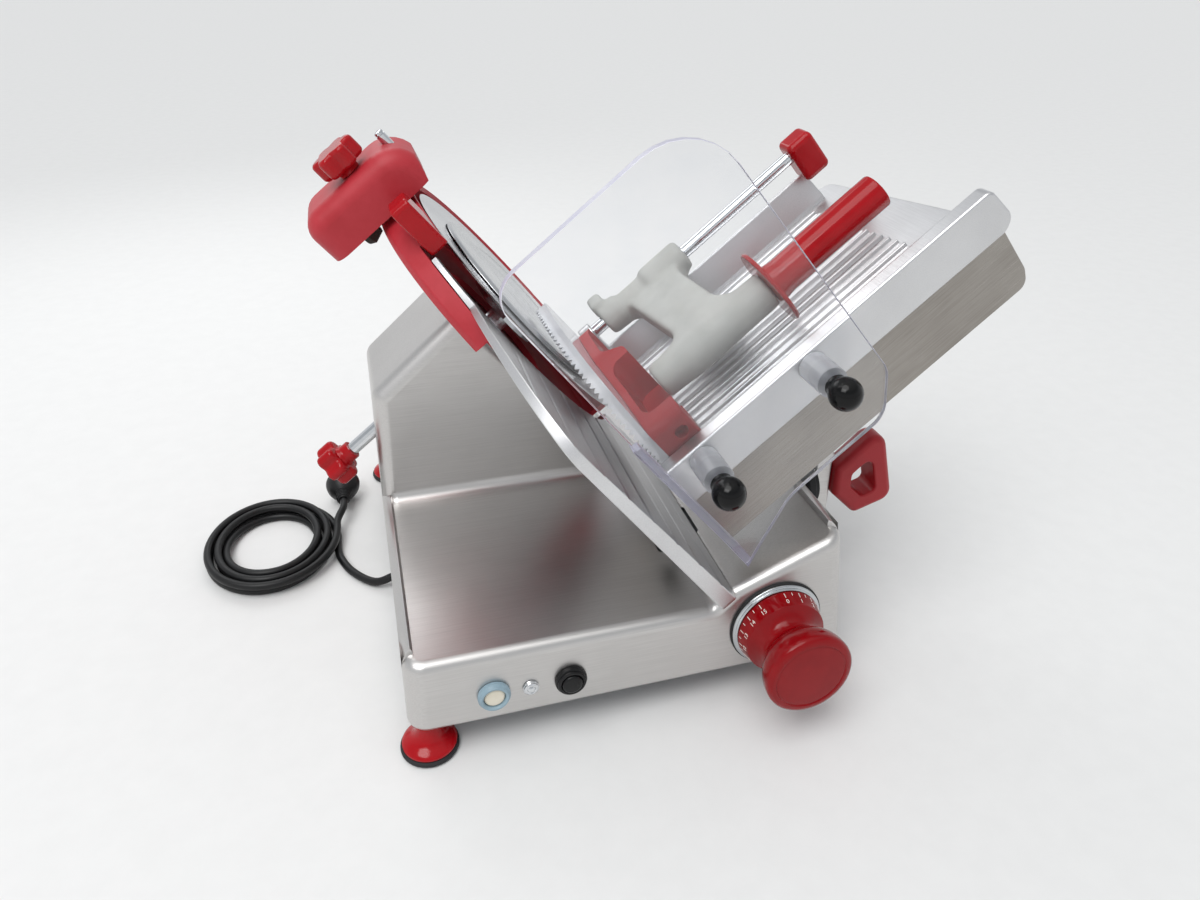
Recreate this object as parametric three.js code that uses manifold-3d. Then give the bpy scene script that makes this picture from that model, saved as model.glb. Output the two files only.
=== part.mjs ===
// Electric gravity-feed food slicer, in millimetres, with +Z up.
// The machine frame has X to the right, Y to the back and its origin at the front left corner of the base, on the table.
// The tilted frame is turned about Y, so that its X is the blade's axis and its Z runs up the blade's plane.
import * as THREE from "three";
import { mergeVertices } from "three/addons/utils/BufferGeometryUtils.js";
import Module from "manifold-3d";

const wasm = await Module();
wasm.setup();

// Fits that the whole machine shares
const seat = 0.3;
const overrun = 2;
const runningGap = 1.5;
const weld = 1e-4;
const tiltAngle = THREE.MathUtils.degToRad(39.6);
const cosTilt = Math.cos(tiltAngle);
const sinTilt = Math.sin(tiltAngle);

// Facets of round forms
const largeRound = 40;
const mediumRound = 20;
const smallRound = 14;
const cornerSteps = 4;

// Base casting
const base = {
  width: 360,
  depth: 425,
  underside: 28.8,
  deckRise: 63.2,
  shoulderRise: 116,
  slopeRise: 78,
  lean: 13,
  slopeFoot: 238,
  slopeTop: 255,
  wall: 5,
  edge: 9,
  corner: 16,
  round: 5,
  crease: 5,
  lowCorner: 8,
};
base.deck = base.underside + base.deckRise;

// Motor housing, cast with the base
const housing = {
  face: 240,
  front: 217,
  back: 335,
  leftRise: 108,
  top: 159,
  edge: 15,
  sunk: 12,
};

// Feet
const foot = { inset: 15, neck: 9, flare: 21, padRadius: 22.5, padHeight: 5 };

// Blade, its axis being the X axis of the tilted frame
const blade = {
  radius: 125,
  face: 277,
  thickness: 3,
  edgeWidth: 9,
  dish: 8,
  hubRadius: 38,
  y: 240,
  z: 121,
};

// Blade spindle
const spindle = {
  bore: 14,
  outer: 22,
  flangeThickness: 6,
  length: 115,
  pulleyRadius: 16,
  pulleyWidth: 10,
  bearingOuter: 30,
  bearingFlange: 33,
  bearingFlangeThickness: 5,
};

// Motor
const motor = {
  radius: 46,
  length: 70,
  y: 278,
  z: 22,
  pulleyRadius: 11,
  shaft: 12,
  beltThickness: 3,
  footWidth: 70,
};

// Guard ring round the blade
const ring = {
  gap: 13,
  wall: 5,
  rise: 38,
  web: 6,
  openRadius: 60,
  gaugeGap: 5,
  rimLip: 3,
  openFromShare: 0.37,
  openToShare: 0.715,
};
ring.radius = blade.radius + ring.gap;
ring.frontRadius = blade.radius + ring.gaugeGap;
ring.top = blade.z + ring.radius;

// Plate over the middle of the blade, and the rod that holds it
const cover = { radius: 92, thickness: 3, rodDiameter: 12, rodOut: 62 };

// Star knobs
const starKnob = { radius: 20, thickness: 18, lobes: 6, lobeDepth: 3.2, neckRadius: 9, neck: 10 };

// Gauge plate that sets the slice
const gauge = {
  thickness: 14,
  skin: 5,
  drop: 12,
  front: -15,
  bottom: -73,
  shoulder: 114,
  backEdge: 200,
  rim: 7,
  flutes: 11,
  fluteDepth: 0.9,
  travel: 12,
  armThickness: 19,
  armFront: 84,
  armWidth: 32,
  rodDiameter: 14,
  rodZ: -118,
  blockHeight: 26,
  lug: 7,
};

// Setting knob and its cam
const dial = {
  x: 292,
  z: 70,
  bezelRadius: 38,
  bezelThickness: 6,
  skirtRadius: 35,
  skirtHeight: 13,
  waistRadius: 23,
  waistAt: 27,
  mouthRadius: 35,
  height: 55,
  crown: 3,
  shaft: 12,
  camRadius: 21,
  camThickness: 7,
  camBack: 62,
  pin: 6,
};

// Push buttons and lamp on the front
const button = { height: 25.4, startX: 64, lampX: 92, stopX: 123, collarRadius: 12.5, capRadius: 8, stand: 6 };

// Carriage tray
const tray = {
  left: 286,
  right: 602,
  front: 35,
  lipDepth: 15,
  top: 26,
  lipHeight: 39,
  apronBottom: -69,
  apronSkin: 4,
  apronCorner: 14,
  floor: -5,
  floorSkin: 4,
  back: 250,
  backWall: 18,
  backTop: 25,
  backRight: 565,
  ribs: 9,
  ribHeight: 3,
  ribWidth: 5,
  ribShort: 12,
};

// Carriage arm, slider and guide rod
const arm = {
  postLeft: 385,
  postThickness: 20,
  y: 120,
  width: 50,
  kneeZ: -116,
  plateThickness: 18,
  standOff: 9,
  footHeight: 20,
  footAbove: 24,
  blockWidth: 34,
  blockHeight: 40,
  blockLength: 90,
  rodDiameter: 16,
  rodX: 330,
  rodAbove: 33,
  travel: 225,
  capRadius: 22,
  capThickness: 14,
  capAbove: 98,
};

// Loop handle on the carriage arm
const loop = { y: 100, width: 26, bar: 12, reach: 62, bottom: 92, top: 181 };

// Clear hand guard
const guard = {
  left: 286,
  right: 460,
  top: 240,
  bottom: -41,
  tip: -68,
  thickness: 6,
  largeCorner: 46,
  smallCorner: 22,
  bar: 6,
  barDepth: 18,
  spacerRadius: 12,
  spacerBore: 4,
  fixingNear: 316,
  fixingFar: 423,
  fixingZ: 13,
  ballRadius: 12.5,
  ballOut: 14,
};

// Rod that carries the pusher
const rod = { diameter: 12, y: 229, z: 53, left: 302, right: 556, lugWidth: 12, lugReach: 8, capWidth: 26 };

// Pusher
const pusher = {
  bushWall: 2.5,
  sleeve: 15,
  sleeveLeft: 372,
  sleeveRight: 416,
  bossLeft: 323,
  bossRight: 341,
  stemY: 110,
  stemZ: 42,
  stemRadius: 17,
  stemLeft: 326,
  stemRight: 441,
  webThickness: 22,
  gripRadius: 15,
  gripLength: 116,
  flangeRadius: 34,
  flangeThickness: 4,
  plateSkin: 9,
  plateDepth: 27,
  plateFront: 53,
  plateBack: 200,
  plateBottom: 16,
  plateTop: 78,
  shieldLeft: 291.5,
  shieldThickness: 5,
  shieldFront: 55,
  shieldBack: 204,
  shieldTop: 124,
  shieldBottom: 4,
  teeth: 36,
  toothHeight: 4,
  slideBack: 100,
  slideForward: 5,
};

// Blade sharpener on top
const sharpener = {
  left: 197,
  right: 303,
  front: 205,
  back: 275,
  clearance: 3,
  height: 41,
  skin: 5,
  round: 13,
  postRadius: 10,
  postY: 230,
  knobX: 255,
  stoneRadius: 12.5,
  stoneX: 262,
  stoneThickness: 8,
  stoneDrop: 6,
  stoneY: 257,
  spindle: 8,
  capRadius: 12,
  capX: 219,
  capLength: 15,
  pinX: 291,
  pinRadius: 4,
  pinOut: 7,
  blockFront: 150,
  blockBack: 190,
  blockLeft: 262,
  blockRise: 16,
};
sharpener.bottom = ring.top + sharpener.clearance;
sharpener.top = sharpener.bottom + sharpener.height;
sharpener.stoneZ = ring.top - sharpener.stoneDrop;
sharpener.blockTop = ring.top + sharpener.blockRise;

// Mains cord, its coil on the table and its plug
const cord = {
  diameter: 7.6,
  gap: 1,
  exitX: 12,
  exitY: 209,
  exitZ: 14,
  glandLength: 34,
  glandRadius: 8.5,
  glandTip: 5.6,
  coilX: -112,
  coilY: 298,
  coilHalfWidth: 64,
  coilHalfDepth: 74,
  loops: 5,
  step: 9.6,
  plugX: -40,
  plugY: 342,
  plugZ: 18.6,
  plugRadius: 18,
  plugLength: 34,
  pinLength: 19,
  pinRadius: 2.4,
  pinSpacing: 19,
};

// Finishes
const finish = (color, roughness, metalness) => new THREE.MeshStandardMaterial({ color, roughness, metalness });
const aluminium = () => finish(0xb9bcc0, 0.38, 0.9);
const steel = () => finish(0xd2d4d6, 0.2, 1);
const redPaint = () => finish(0xb0363f, 0.5, 0);
const redPlastic = () => finish(0xb3141f, 0.25, 0);
const greyPlastic = () => finish(0xb9bab4, 0.5, 0);
const blackPlastic = () => finish(0x141415, 0.35, 0);
const rubber = () => finish(0x1b1b1c, 0.8, 0);
const clear = () =>
  new THREE.MeshStandardMaterial({ color: 0xeaf0f2, roughness: 0.08, transparent: true, opacity: 0.3 });

// Solids from closed geometries, and back
function solid(geometry) {
  const bare = geometry.index ? geometry.toNonIndexed() : geometry.clone();
  bare.deleteAttribute("normal");
  bare.deleteAttribute("uv");
  const merged = mergeVertices(bare, weld);
  return new wasm.Manifold(
    new wasm.Mesh({
      numProp: 3,
      vertProperties: merged.attributes.position.array,
      triVerts: new Uint32Array(merged.index.array),
    }),
  );
}

function piece(name, made, material) {
  const mesh = made.getMesh();
  const geometry = new THREE.BufferGeometry();
  geometry.setAttribute("position", new THREE.BufferAttribute(new Float32Array(mesh.vertProperties), 3));
  geometry.setIndex(new THREE.BufferAttribute(new Uint32Array(mesh.triVerts), 1));
  geometry.computeVertexNormals();
  const result = new THREE.Mesh(geometry, material);
  result.name = name;
  return result;
}

// A closed outline whose corners are [across, up, fillet radius]
function outline(corners) {
  const shape = new THREE.Shape();
  const count = corners.length;
  corners.forEach(([x, y, radius = 0], i) => {
    const corner = new THREE.Vector2(x, y);
    const before = new THREE.Vector2(...corners[(i + count - 1) % count].slice(0, 2)).sub(corner);
    const after = new THREE.Vector2(...corners[(i + 1) % count].slice(0, 2)).sub(corner);
    const half = Math.abs(before.angleTo(after)) / 2;
    const reach = Math.min(radius / Math.tan(half), before.length() * 0.49, after.length() * 0.49);
    const start = before.clone().setLength(reach).add(corner);
    const end = after.clone().setLength(reach).add(corner);
    if (radius === 0) {
      if (i === 0) shape.moveTo(x, y);
      else shape.lineTo(x, y);
      return;
    }
    if (i === 0) shape.moveTo(start.x, start.y);
    else shape.lineTo(start.x, start.y);
    shape.quadraticCurveTo(x, y, end.x, end.y);
  });
  shape.closePath();
  return shape;
}

// The same corners moved inwards by a wall, for outlines drawn anticlockwise
function inset(corners, wall, fillet) {
  const count = corners.length;
  return corners.map(([x, y], i) => {
    const [px, py] = corners[(i + count - 1) % count];
    const [nx, ny] = corners[(i + 1) % count];
    const into = new THREE.Vector2(x - px, y - py).normalize();
    const out = new THREE.Vector2(nx - x, ny - y).normalize();
    const sum = new THREE.Vector2(-into.y - out.y, into.x + out.x);
    const push = (wall * 2) / sum.lengthSq();
    return [x + sum.x * push, y + sum.y * push, fillet];
  });
}

const rectangle = (left, right, bottom, top, radius) => [
  [left, bottom, radius],
  [right, bottom, radius],
  [right, top, radius],
  [left, top, radius],
];

// Outlines pushed along each axis, from one station to another
function extruded(shape, depth, steps) {
  return new THREE.ExtrudeGeometry(shape, { depth, bevelEnabled: false, curveSegments: steps });
}

function alongX(corners, from, to, steps = cornerSteps) {
  const shape = corners instanceof THREE.Shape ? corners : outline(corners);
  const turn = new THREE.Matrix4().set(0, 0, 1, from, 1, 0, 0, 0, 0, 1, 0, 0, 0, 0, 0, 1);
  return solid(extruded(shape, to - from, steps).applyMatrix4(turn));
}

function alongY(corners, from, to, steps = cornerSteps) {
  const shape = corners instanceof THREE.Shape ? corners : outline(corners);
  const turn = new THREE.Matrix4().set(1, 0, 0, 0, 0, 0, -1, to, 0, 1, 0, 0, 0, 0, 0, 1);
  return solid(extruded(shape, to - from, steps).applyMatrix4(turn));
}

// The same with the edges of both ends rounded
function roundedAlongY(corners, from, to, radius) {
  const geometry = new THREE.ExtrudeGeometry(outline(corners), {
    depth: to - from - radius * 2,
    bevelThickness: radius,
    bevelSize: radius,
    bevelOffset: -radius,
    bevelSegments: 2,
    curveSegments: cornerSteps,
  });
  const turn = new THREE.Matrix4().set(1, 0, 0, 0, 0, 0, -1, to - radius, 0, 1, 0, 0, 0, 0, 0, 1);
  return solid(geometry.applyMatrix4(turn));
}

function alongZ(corners, from, to, steps = cornerSteps) {
  const shape = corners instanceof THREE.Shape ? corners : outline(corners);
  return solid(extruded(shape, to - from, steps).translate(0, 0, from));
}

function block(x0, x1, y0, y1, z0, z1) {
  const geometry = new THREE.BoxGeometry(x1 - x0, y1 - y0, z1 - z0);
  return solid(geometry.translate((x0 + x1) / 2, (y0 + y1) / 2, (z0 + z1) / 2));
}

// Turned bodies: the profile is a list of [station along the axis, radius] that starts and ends on the axis or closes
function turned(profile, sides) {
  const closed = profile[0][1] > 0;
  const points = profile.map(([along, radius]) => new THREE.Vector2(radius, along));
  if (THREE.ShapeUtils.area(points) < 0) points.reverse();
  if (closed) points.push(points[0].clone());
  return new THREE.LatheGeometry(points, sides);
}

const turnedX = (profile, y, z, sides = mediumRound) =>
  solid(
    turned(profile, sides)
      .rotateZ(-Math.PI / 2)
      .translate(0, y, z),
  );

const turnedY = (profile, x, z, sides = mediumRound) => solid(turned(profile, sides).translate(x, 0, z));

const turnedZ = (profile, x, y, sides = mediumRound) =>
  solid(
    turned(profile, sides)
      .rotateX(Math.PI / 2)
      .translate(x, y, 0),
  );

const bar = (from, to, radius) => [
  [from, 0],
  [from, radius],
  [to, radius],
  [to, 0],
];

const pipe = (from, to, inner, outer) => [
  [from, inner],
  [from, outer],
  [to, outer],
  [to, inner],
];

// A star knob's lobed outline
function star(radius, lobes, depth) {
  const count = lobes * 8;
  const points = [];
  for (let i = 0; i < count; i += 1) {
    const angle = (i / count) * Math.PI * 2;
    const reach = radius - depth * (1 - Math.cos(angle * lobes)) * 0.5;
    points.push(new THREE.Vector2(reach * Math.cos(angle), reach * Math.sin(angle)));
  }
  return new THREE.Shape(points);
}

const group = new THREE.Group();
const machine = new THREE.Group();
const tilted = new THREE.Group();
tilted.rotation.y = -tiltAngle;
machine.add(tilted);
group.add(machine);

// A solid given in the tilted frame, turned into the machine frame
const toMachine = (made) => made.rotate([0, -THREE.MathUtils.radToDeg(tiltAngle), 0]);
const machineX = (x, z) => x * cosTilt - z * sinTilt;
const machineZ = (x, z) => x * sinTilt + z * cosTilt;
const tiltedZ = (x, z) => z * cosTilt - x * sinTilt;
const tiltedX = (x, z) => x * cosTilt + z * sinTilt;

// Base casting with the motor housing, open below
const baseCorners = [
  [0, base.underside, base.lowCorner],
  [base.width, base.underside, base.lowCorner],
  [base.width - base.lean, base.underside + base.shoulderRise, base.edge],
  [base.slopeTop, base.underside + base.slopeRise, base.edge],
  [base.slopeFoot, base.deck, base.edge],
  [0, base.deck, base.edge],
];
const housingCorners = (low) => [
  [0, low, 0],
  [machineX(housing.face, tiltedFaceZ(low)), low, 0],
  [machineX(housing.face, housing.top), machineZ(housing.face, housing.top), housing.edge],
  [0, base.deck + housing.leftRise, housing.edge],
];
const hoodLow = base.deck - housing.sunk;

// Height in the tilted frame of a point on the housing's face at a given machine height
function tiltedFaceZ(height) {
  return (height - housing.face * sinTilt) / cosTilt;
}

function baseCasting() {
  const plan = rectangle(0, base.width, 0, base.depth, base.corner);
  const body = roundedAlongY(baseCorners, 0, base.depth, base.round).intersect(
    alongZ(plan, base.underside - overrun, base.underside + base.shoulderRise + overrun),
  );
  const hood = alongY(housingCorners(hoodLow), housing.front, housing.back).intersect(
    toMachine(
      alongX(
        rectangle(housing.front, housing.back, tiltedFaceZ(0), housing.top + overrun, 0).map((corner, i) =>
          i > 1 ? [corner[0], i === 2 || i === 3 ? housing.top : corner[1], housing.edge] : corner,
        ),
        -base.width,
        base.width,
      ),
    ),
  );
  const inner = alongY(
    inset(baseCorners, base.wall, base.crease).map((corner, i) => (i < 2 ? [corner[0], base.underside - overrun, 0] : corner)),
    base.wall,
    base.depth - base.wall,
  );
  const hoodInner = alongY(
    inset(housingCorners(hoodLow - overrun), base.wall, base.edge).map((corner, i) => (i < 2 ? [corner[0], corner[1], 0] : corner)),
    housing.front + base.wall,
    housing.back - base.wall,
  );
  const outer = body.add(hood);
  let made = outer.subtract(inner).subtract(hoodInner);
  made = made.add(gaugeLugs().intersect(outer));
  made = made.subtract(armSlot());
  made = made.subtract(gaugeSlot());
  made = made.subtract(frontHoles());
  made = made.subtract(toMachine(spindleHoles()));
  return made;
}

// Lugs under the deck that hold the gauge's guide rod
const gaugeBlockLeft = blade.face - gauge.drop - gauge.thickness - gauge.armThickness - base.crease;
const gaugeBlockRight = blade.face - gauge.drop - gauge.thickness + base.crease;
const gaugeRodLeft = gaugeBlockLeft - gauge.travel - base.crease;
const gaugeRodRight = gaugeBlockRight + gauge.travel + gauge.travel + runningGap;
const gaugeMiddleY = gauge.armFront + gauge.armWidth / 2;

function gaugeLugs() {
  const half = gauge.rodDiameter;
  const low = gauge.rodZ - half / 2 + seat;
  const lug = (from, to) =>
    toMachine(block(from, to, gaugeMiddleY - half, gaugeMiddleY + half, low, base.wall * -2));
  return lug(gaugeRodLeft - gauge.lug, gaugeRodLeft).add(lug(gaugeRodRight, gaugeRodRight + gauge.lug));
}

const slotGap = runningGap * 2;

function armSlot() {
  const low = base.underside + arm.footAbove - slotGap;
  const high = low + arm.footHeight + slotGap * 2;
  const front = arm.y - arm.width / 2 - slotGap;
  const back = arm.y + arm.width / 2 + arm.travel + slotGap;
  return alongX(rectangle(front, back, low, high, slotGap), arm.rodX + arm.blockWidth / 2, base.width + overrun);
}

const gaugeBack = blade.face - gauge.drop - gauge.thickness;

function gaugeSlot() {
  const left = gaugeBack - gauge.armThickness - slotGap;
  const right = gaugeBack + gauge.travel + slotGap;
  const high = gauge.bottom + base.deckRise / 2;
  const cutter = block(
    left,
    right,
    gauge.armFront - slotGap,
    gauge.armFront + gauge.armWidth + slotGap,
    gauge.rodZ + gauge.blockHeight / 2,
    high,
  );
  return toMachine(cutter);
}

const buttonZ = base.underside + button.height;
const holeRadius = button.capRadius + seat;

function frontHoles() {
  const through = (x, z, radius) => turnedY(bar(-overrun, base.wall + overrun, radius), x, z, smallRound);
  return through(button.startX, buttonZ, holeRadius)
    .add(through(button.stopX, buttonZ, holeRadius))
    .add(through(dial.x, dial.z, dial.shaft / 2 + seat));
}

// Holes for the blade's bearing and, on the left, for the rod that holds the cover
function spindleHoles() {
  const bearing = turnedX(
    bar(housing.face - base.wall - overrun, housing.face + overrun, spindle.bearingOuter / 2 + seat),
    blade.y,
    blade.z,
    mediumRound,
  );
  const far = turnedX(bar(0, housing.face - spindle.length, cover.rodDiameter / 2 + seat), blade.y, blade.z, smallRound);
  return bearing.add(far);
}

function bottomPlate() {
  const gap = base.wall + seat;
  const plan = rectangle(gap, base.width - gap - base.wall / 4, gap, base.depth - gap, base.crease);
  return alongZ(plan, base.underside, base.underside + base.wall / 2);
}

function footCone(x, y) {
  const top = base.underside - seat;
  const profile = [
    [foot.padHeight + seat, 0],
    [foot.padHeight + seat, foot.flare],
    [foot.padHeight * 1.5, foot.flare],
    [foot.padHeight * 2.6, foot.neck * 1.5],
    [top - foot.padHeight, foot.neck * 1.05],
    [top, foot.neck],
    [top, 0],
  ];
  return turnedZ(profile, x, y, mediumRound);
}

function footPad(x, y) {
  const profile = [
    [0, 0],
    [0, foot.flare],
    [foot.padHeight / 3, foot.padRadius],
    [foot.padHeight * 0.8, foot.padRadius],
    [foot.padHeight, foot.flare],
    [foot.padHeight, 0],
  ];
  return turnedZ(profile, x, y, mediumRound);
}

machine.add(piece("base_casing", baseCasting(), aluminium()));
machine.add(piece("bottom_plate", bottomPlate(), steel()));
const feet = [
  ["foot_front_left", foot.inset, foot.inset],
  ["foot_front_right", base.width - foot.inset, foot.inset],
  ["foot_back_left", foot.inset, base.depth - foot.inset],
  ["foot_back_right", base.width - foot.inset, base.depth - foot.inset],
];
for (const [name, x, y] of feet) {
  machine.add(piece(name, footCone(x, y), redPlastic()));
  machine.add(piece(name.replace("foot", "pad"), footPad(x, y), rubber()));
}

// Push buttons: a collar on the front wall and a cap that slides through it
function collar(x) {
  const inner = holeRadius;
  const outer = button.collarRadius;
  const profile = [
    [-seat, inner],
    [-button.stand * 0.7, inner],
    [-button.stand, inner * 1.15],
    [-button.stand * 0.9, outer * 0.88],
    [-button.stand * 0.5, outer],
    [-seat, outer],
  ];
  return turnedY(profile, x, buttonZ, mediumRound);
}

function cap(x, stand) {
  const rim = button.capRadius;
  const back = base.wall + seat;
  const profile = [
    [-stand, 0],
    [-stand, rim * 0.7],
    [-stand * 0.85, rim],
    [back, rim],
    [back, rim * 1.3],
    [back + button.stand / 3, rim * 1.3],
    [back + button.stand / 3, 0],
  ];
  return turnedY(profile, x, buttonZ, mediumRound);
}

function lamp() {
  const profile = [
    [-button.stand * 0.8, 0],
    [-button.stand * 0.6, button.capRadius * 0.45],
    [-button.stand * 0.45, button.capRadius * 0.7],
    [-seat, button.capRadius * 0.8],
    [-seat, 0],
  ];
  return turnedY(profile, button.lampX, buttonZ, smallRound);
}

machine.add(piece("start_button_collar", collar(button.startX), finish(0x9db9c6, 0.3, 0)));
machine.add(piece("start_button", cap(button.startX, button.stand * 0.75), finish(0xe6dfd0, 0.5, 0)));
machine.add(piece("stop_button_collar", collar(button.stopX), blackPlastic()));
machine.add(piece("stop_button", cap(button.stopX, button.stand * 1.3), blackPlastic()));
machine.add(piece("pilot_lamp", lamp(), steel()));

// Dial bezel, setting knob, its shaft and cam
function dialBezel() {
  const inner = dial.shaft / 2 + seat * 2;
  const face = -dial.bezelThickness;
  const profile = [
    [-seat, inner],
    [face, inner],
    [face, dial.bezelRadius - dial.bezelThickness / 3],
    [face * 0.6, dial.bezelRadius],
    [-seat, dial.bezelRadius],
  ];
  return turnedY(profile, dial.x, dial.z, largeRound);
}

function settingKnob() {
  const start = -dial.bezelThickness - seat;
  const end = start - dial.height;
  const profile = [
    [end, 0],
    [end + dial.crown / 3, dial.mouthRadius * 0.62],
    [end + dial.crown, dial.mouthRadius * 0.93],
    [end + dial.crown * 2, dial.mouthRadius],
    [end + dial.height * 0.27, dial.mouthRadius * 0.93],
    [start - dial.waistAt, dial.waistRadius],
    [start - dial.skirtHeight * 1.25, dial.waistRadius * 1.15],
    [start - dial.skirtHeight, dial.skirtRadius * 0.93],
    [start, dial.skirtRadius],
    [start, dial.shaft / 2 + seat],
    [end + dial.height / 2, dial.shaft / 2 + seat],
    [end + dial.height / 2, 0],
  ];
  return turnedY(profile, dial.x, dial.z, largeRound);
}

function camShaft() {
  const end = -dial.bezelThickness - dial.height / 2 + seat;
  const front = dial.camBack - dial.camThickness;
  const profile = [
    [end, 0],
    [end, dial.shaft / 2],
    [front, dial.shaft / 2],
    [front, dial.camRadius],
    [dial.camBack, dial.camRadius],
    [dial.camBack, 0],
  ];
  return turnedY(profile, dial.x, dial.z, mediumRound);
}

machine.add(piece("dial_bezel", dialBezel(), steel()));
machine.add(piece("gauge_knob", settingKnob(), redPlastic()));
machine.add(piece("gauge_cam_shaft", camShaft(), steel()));

// Gauge plate: a fluted face inside a rim, cut back in a curve round the blade
function gaugeOutline(grow) {
  const reach = ring.frontRadius + grow;
  const shape = new THREE.Shape();
  const front = gauge.front + grow;
  const bottom = gauge.bottom + grow;
  const back = gauge.backEdge - grow;
  const tipAngle = Math.PI * 0.77;
  const tip = new THREE.Vector2(blade.y + reach * Math.cos(tipAngle), blade.z + reach * Math.sin(tipAngle));
  const lowAngle = Math.PI * 2 - Math.acos((back - blade.y) / reach);
  const corner = gauge.rim;
  shape.moveTo(front + corner, bottom);
  shape.lineTo(back, bottom);
  shape.lineTo(back, blade.z + reach * Math.sin(lowAngle));
  shape.absarc(blade.y, blade.z, reach, lowAngle, tipAngle, true);
  shape.bezierCurveTo(
    tip.x - reach * 0.22,
    tip.y - gauge.rim,
    front + gauge.rim / 2,
    gauge.shoulder + gauge.rim * 5,
    front,
    gauge.shoulder,
  );
  shape.lineTo(front, bottom + corner);
  shape.quadraticCurveTo(front, bottom, front + corner, bottom);
  return shape;
}

function gaugePlate() {
  const face = gaugeBack + gauge.thickness;
  const low = gauge.bottom;
  const high = blade.z + blade.radius;
  const pitch = (high - low) / gauge.flutes;
  const section = new THREE.Shape();
  section.moveTo(gaugeBack, low);
  section.lineTo(face, low);
  for (let i = 0; i < gauge.flutes; i += 1) {
    const z = low + pitch * i;
    section.lineTo(face, z + pitch * 0.72);
    section.lineTo(face - gauge.fluteDepth, z + pitch * 0.84);
    section.lineTo(face, z + pitch * 0.96);
  }
  section.lineTo(face, high);
  section.lineTo(gaugeBack, high);
  section.closePath();
  const body = alongX(gaugeOutline(0), gaugeBack, face, 14).intersect(
    alongY(section, gauge.front - overrun, gauge.backEdge + overrun),
  );
  const pocket = alongX(gaugeOutline(gauge.rim), gaugeBack - overrun, face - gauge.skin, 14);
  return body.subtract(pocket);
}

// Arm under the gauge plate, down through the deck to a block on the guide rod
function gaugeArm() {
  const right = gaugeBack - seat;
  const left = right - gauge.armThickness;
  const top = -gauge.rim * 2;
  const low = gauge.rodZ - gauge.blockHeight / 2;
  const pad = alongX(
    rectangle(gauge.armFront - gauge.rim * 4, gauge.armFront + gauge.armWidth + gauge.rim * 4, gauge.bottom / 2 - gauge.rim * 2, top + gauge.rim, gauge.rim),
    right - gauge.skin,
    gaugeBack + gauge.thickness - gauge.skin - seat,
  );
  const web = alongY(
    [
      [left, low, 0],
      [right, low, 0],
      [right, top, 0],
      [right - gauge.skin, top, 0],
      [left, gauge.bottom / 2 - gauge.rim * 2, 0],
    ],
    gauge.armFront,
    gauge.armFront + gauge.armWidth,
  );
  const bossY = gauge.armFront + gauge.armWidth / 2;
  const hub = block(
    gaugeBlockLeft,
    gaugeBlockRight,
    gauge.armFront,
    gauge.armFront + gauge.armWidth,
    low,
    gauge.rodZ + gauge.blockHeight / 2,
  );
  const bore = turnedX(
    bar(gaugeBlockLeft - overrun, gaugeBlockRight + overrun, gauge.rodDiameter / 2 + seat),
    bossY,
    gauge.rodZ,
    smallRound,
  );
  const pinX = tiltedX(dial.x, dial.z) - dial.camRadius + dial.pin;
  const pin = turnedY(
    bar(dial.camBack + seat, gauge.armFront + overrun, dial.pin / 2),
    Math.min(pinX, gaugeBlockRight - dial.pin),
    gauge.rodZ - gauge.blockHeight / 2 + dial.pin,
    smallRound,
  );
  return web.add(hub).add(pad).add(pin).subtract(bore);
}

tilted.add(piece("gauge_plate", gaugePlate(), aluminium()));
tilted.add(piece("gauge_arm", gaugeArm(), aluminium()));
tilted.add(
  piece(
    "gauge_rod",
    turnedX(
      bar(gaugeRodLeft + seat, gaugeRodRight - seat, gauge.rodDiameter / 2),
      gaugeMiddleY,
      gauge.rodZ,
      smallRound,
    ),
    steel(),
  ),
);

// Blade: hollow-ground disc with a dished middle
function bladeDisc() {
  const face = blade.face;
  const back = face - blade.thickness;
  const inner = blade.radius - blade.edgeWidth;
  const bolt = cover.rodDiameter / 2 + seat * 2;
  const profile = [
    [back - blade.dish, bolt],
    [face - blade.dish, bolt],
    [face - blade.dish, blade.hubRadius],
    [face - seat * 2, blade.hubRadius + blade.dish * 2],
    [face - seat * 2, inner],
    [face, blade.radius],
    [back + seat, inner],
    [back, inner - blade.edgeWidth],
    [back, blade.hubRadius + blade.dish * 2 + blade.thickness],
    [back - blade.dish, blade.hubRadius + blade.thickness],
  ];
  return turnedX(profile, blade.y, blade.z, largeRound);
}

// Hollow spindle with its pulley and the flange that carries the blade
const flangeFace = blade.face - blade.thickness - blade.dish - seat;

function bladeSpindle() {
  const bore = spindle.bore / 2;
  const outer = spindle.outer / 2;
  const flange = flangeFace - spindle.flangeThickness;
  const left = housing.face - spindle.length;
  const pulley = left + spindle.pulleyWidth * 2;
  const groove = spindle.pulleyWidth / 4;
  const profile = [
    [left, bore],
    [left, outer],
    [pulley, outer],
    [pulley, spindle.pulleyRadius],
    [pulley + groove, spindle.pulleyRadius - groove],
    [pulley + spindle.pulleyWidth - groove, spindle.pulleyRadius - groove],
    [pulley + spindle.pulleyWidth, spindle.pulleyRadius],
    [pulley + spindle.pulleyWidth, outer],
    [flange, outer],
    [flange, blade.hubRadius],
    [flangeFace, blade.hubRadius],
    [flangeFace, bore],
  ];
  return turnedX(profile, blade.y, blade.z, mediumRound);
}

const pulleyLeft = housing.face - spindle.length + spindle.pulleyWidth * 2;
const pulleyRight = pulleyLeft + spindle.pulleyWidth;
const bearingLeft = pulleyRight + base.wall;

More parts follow.
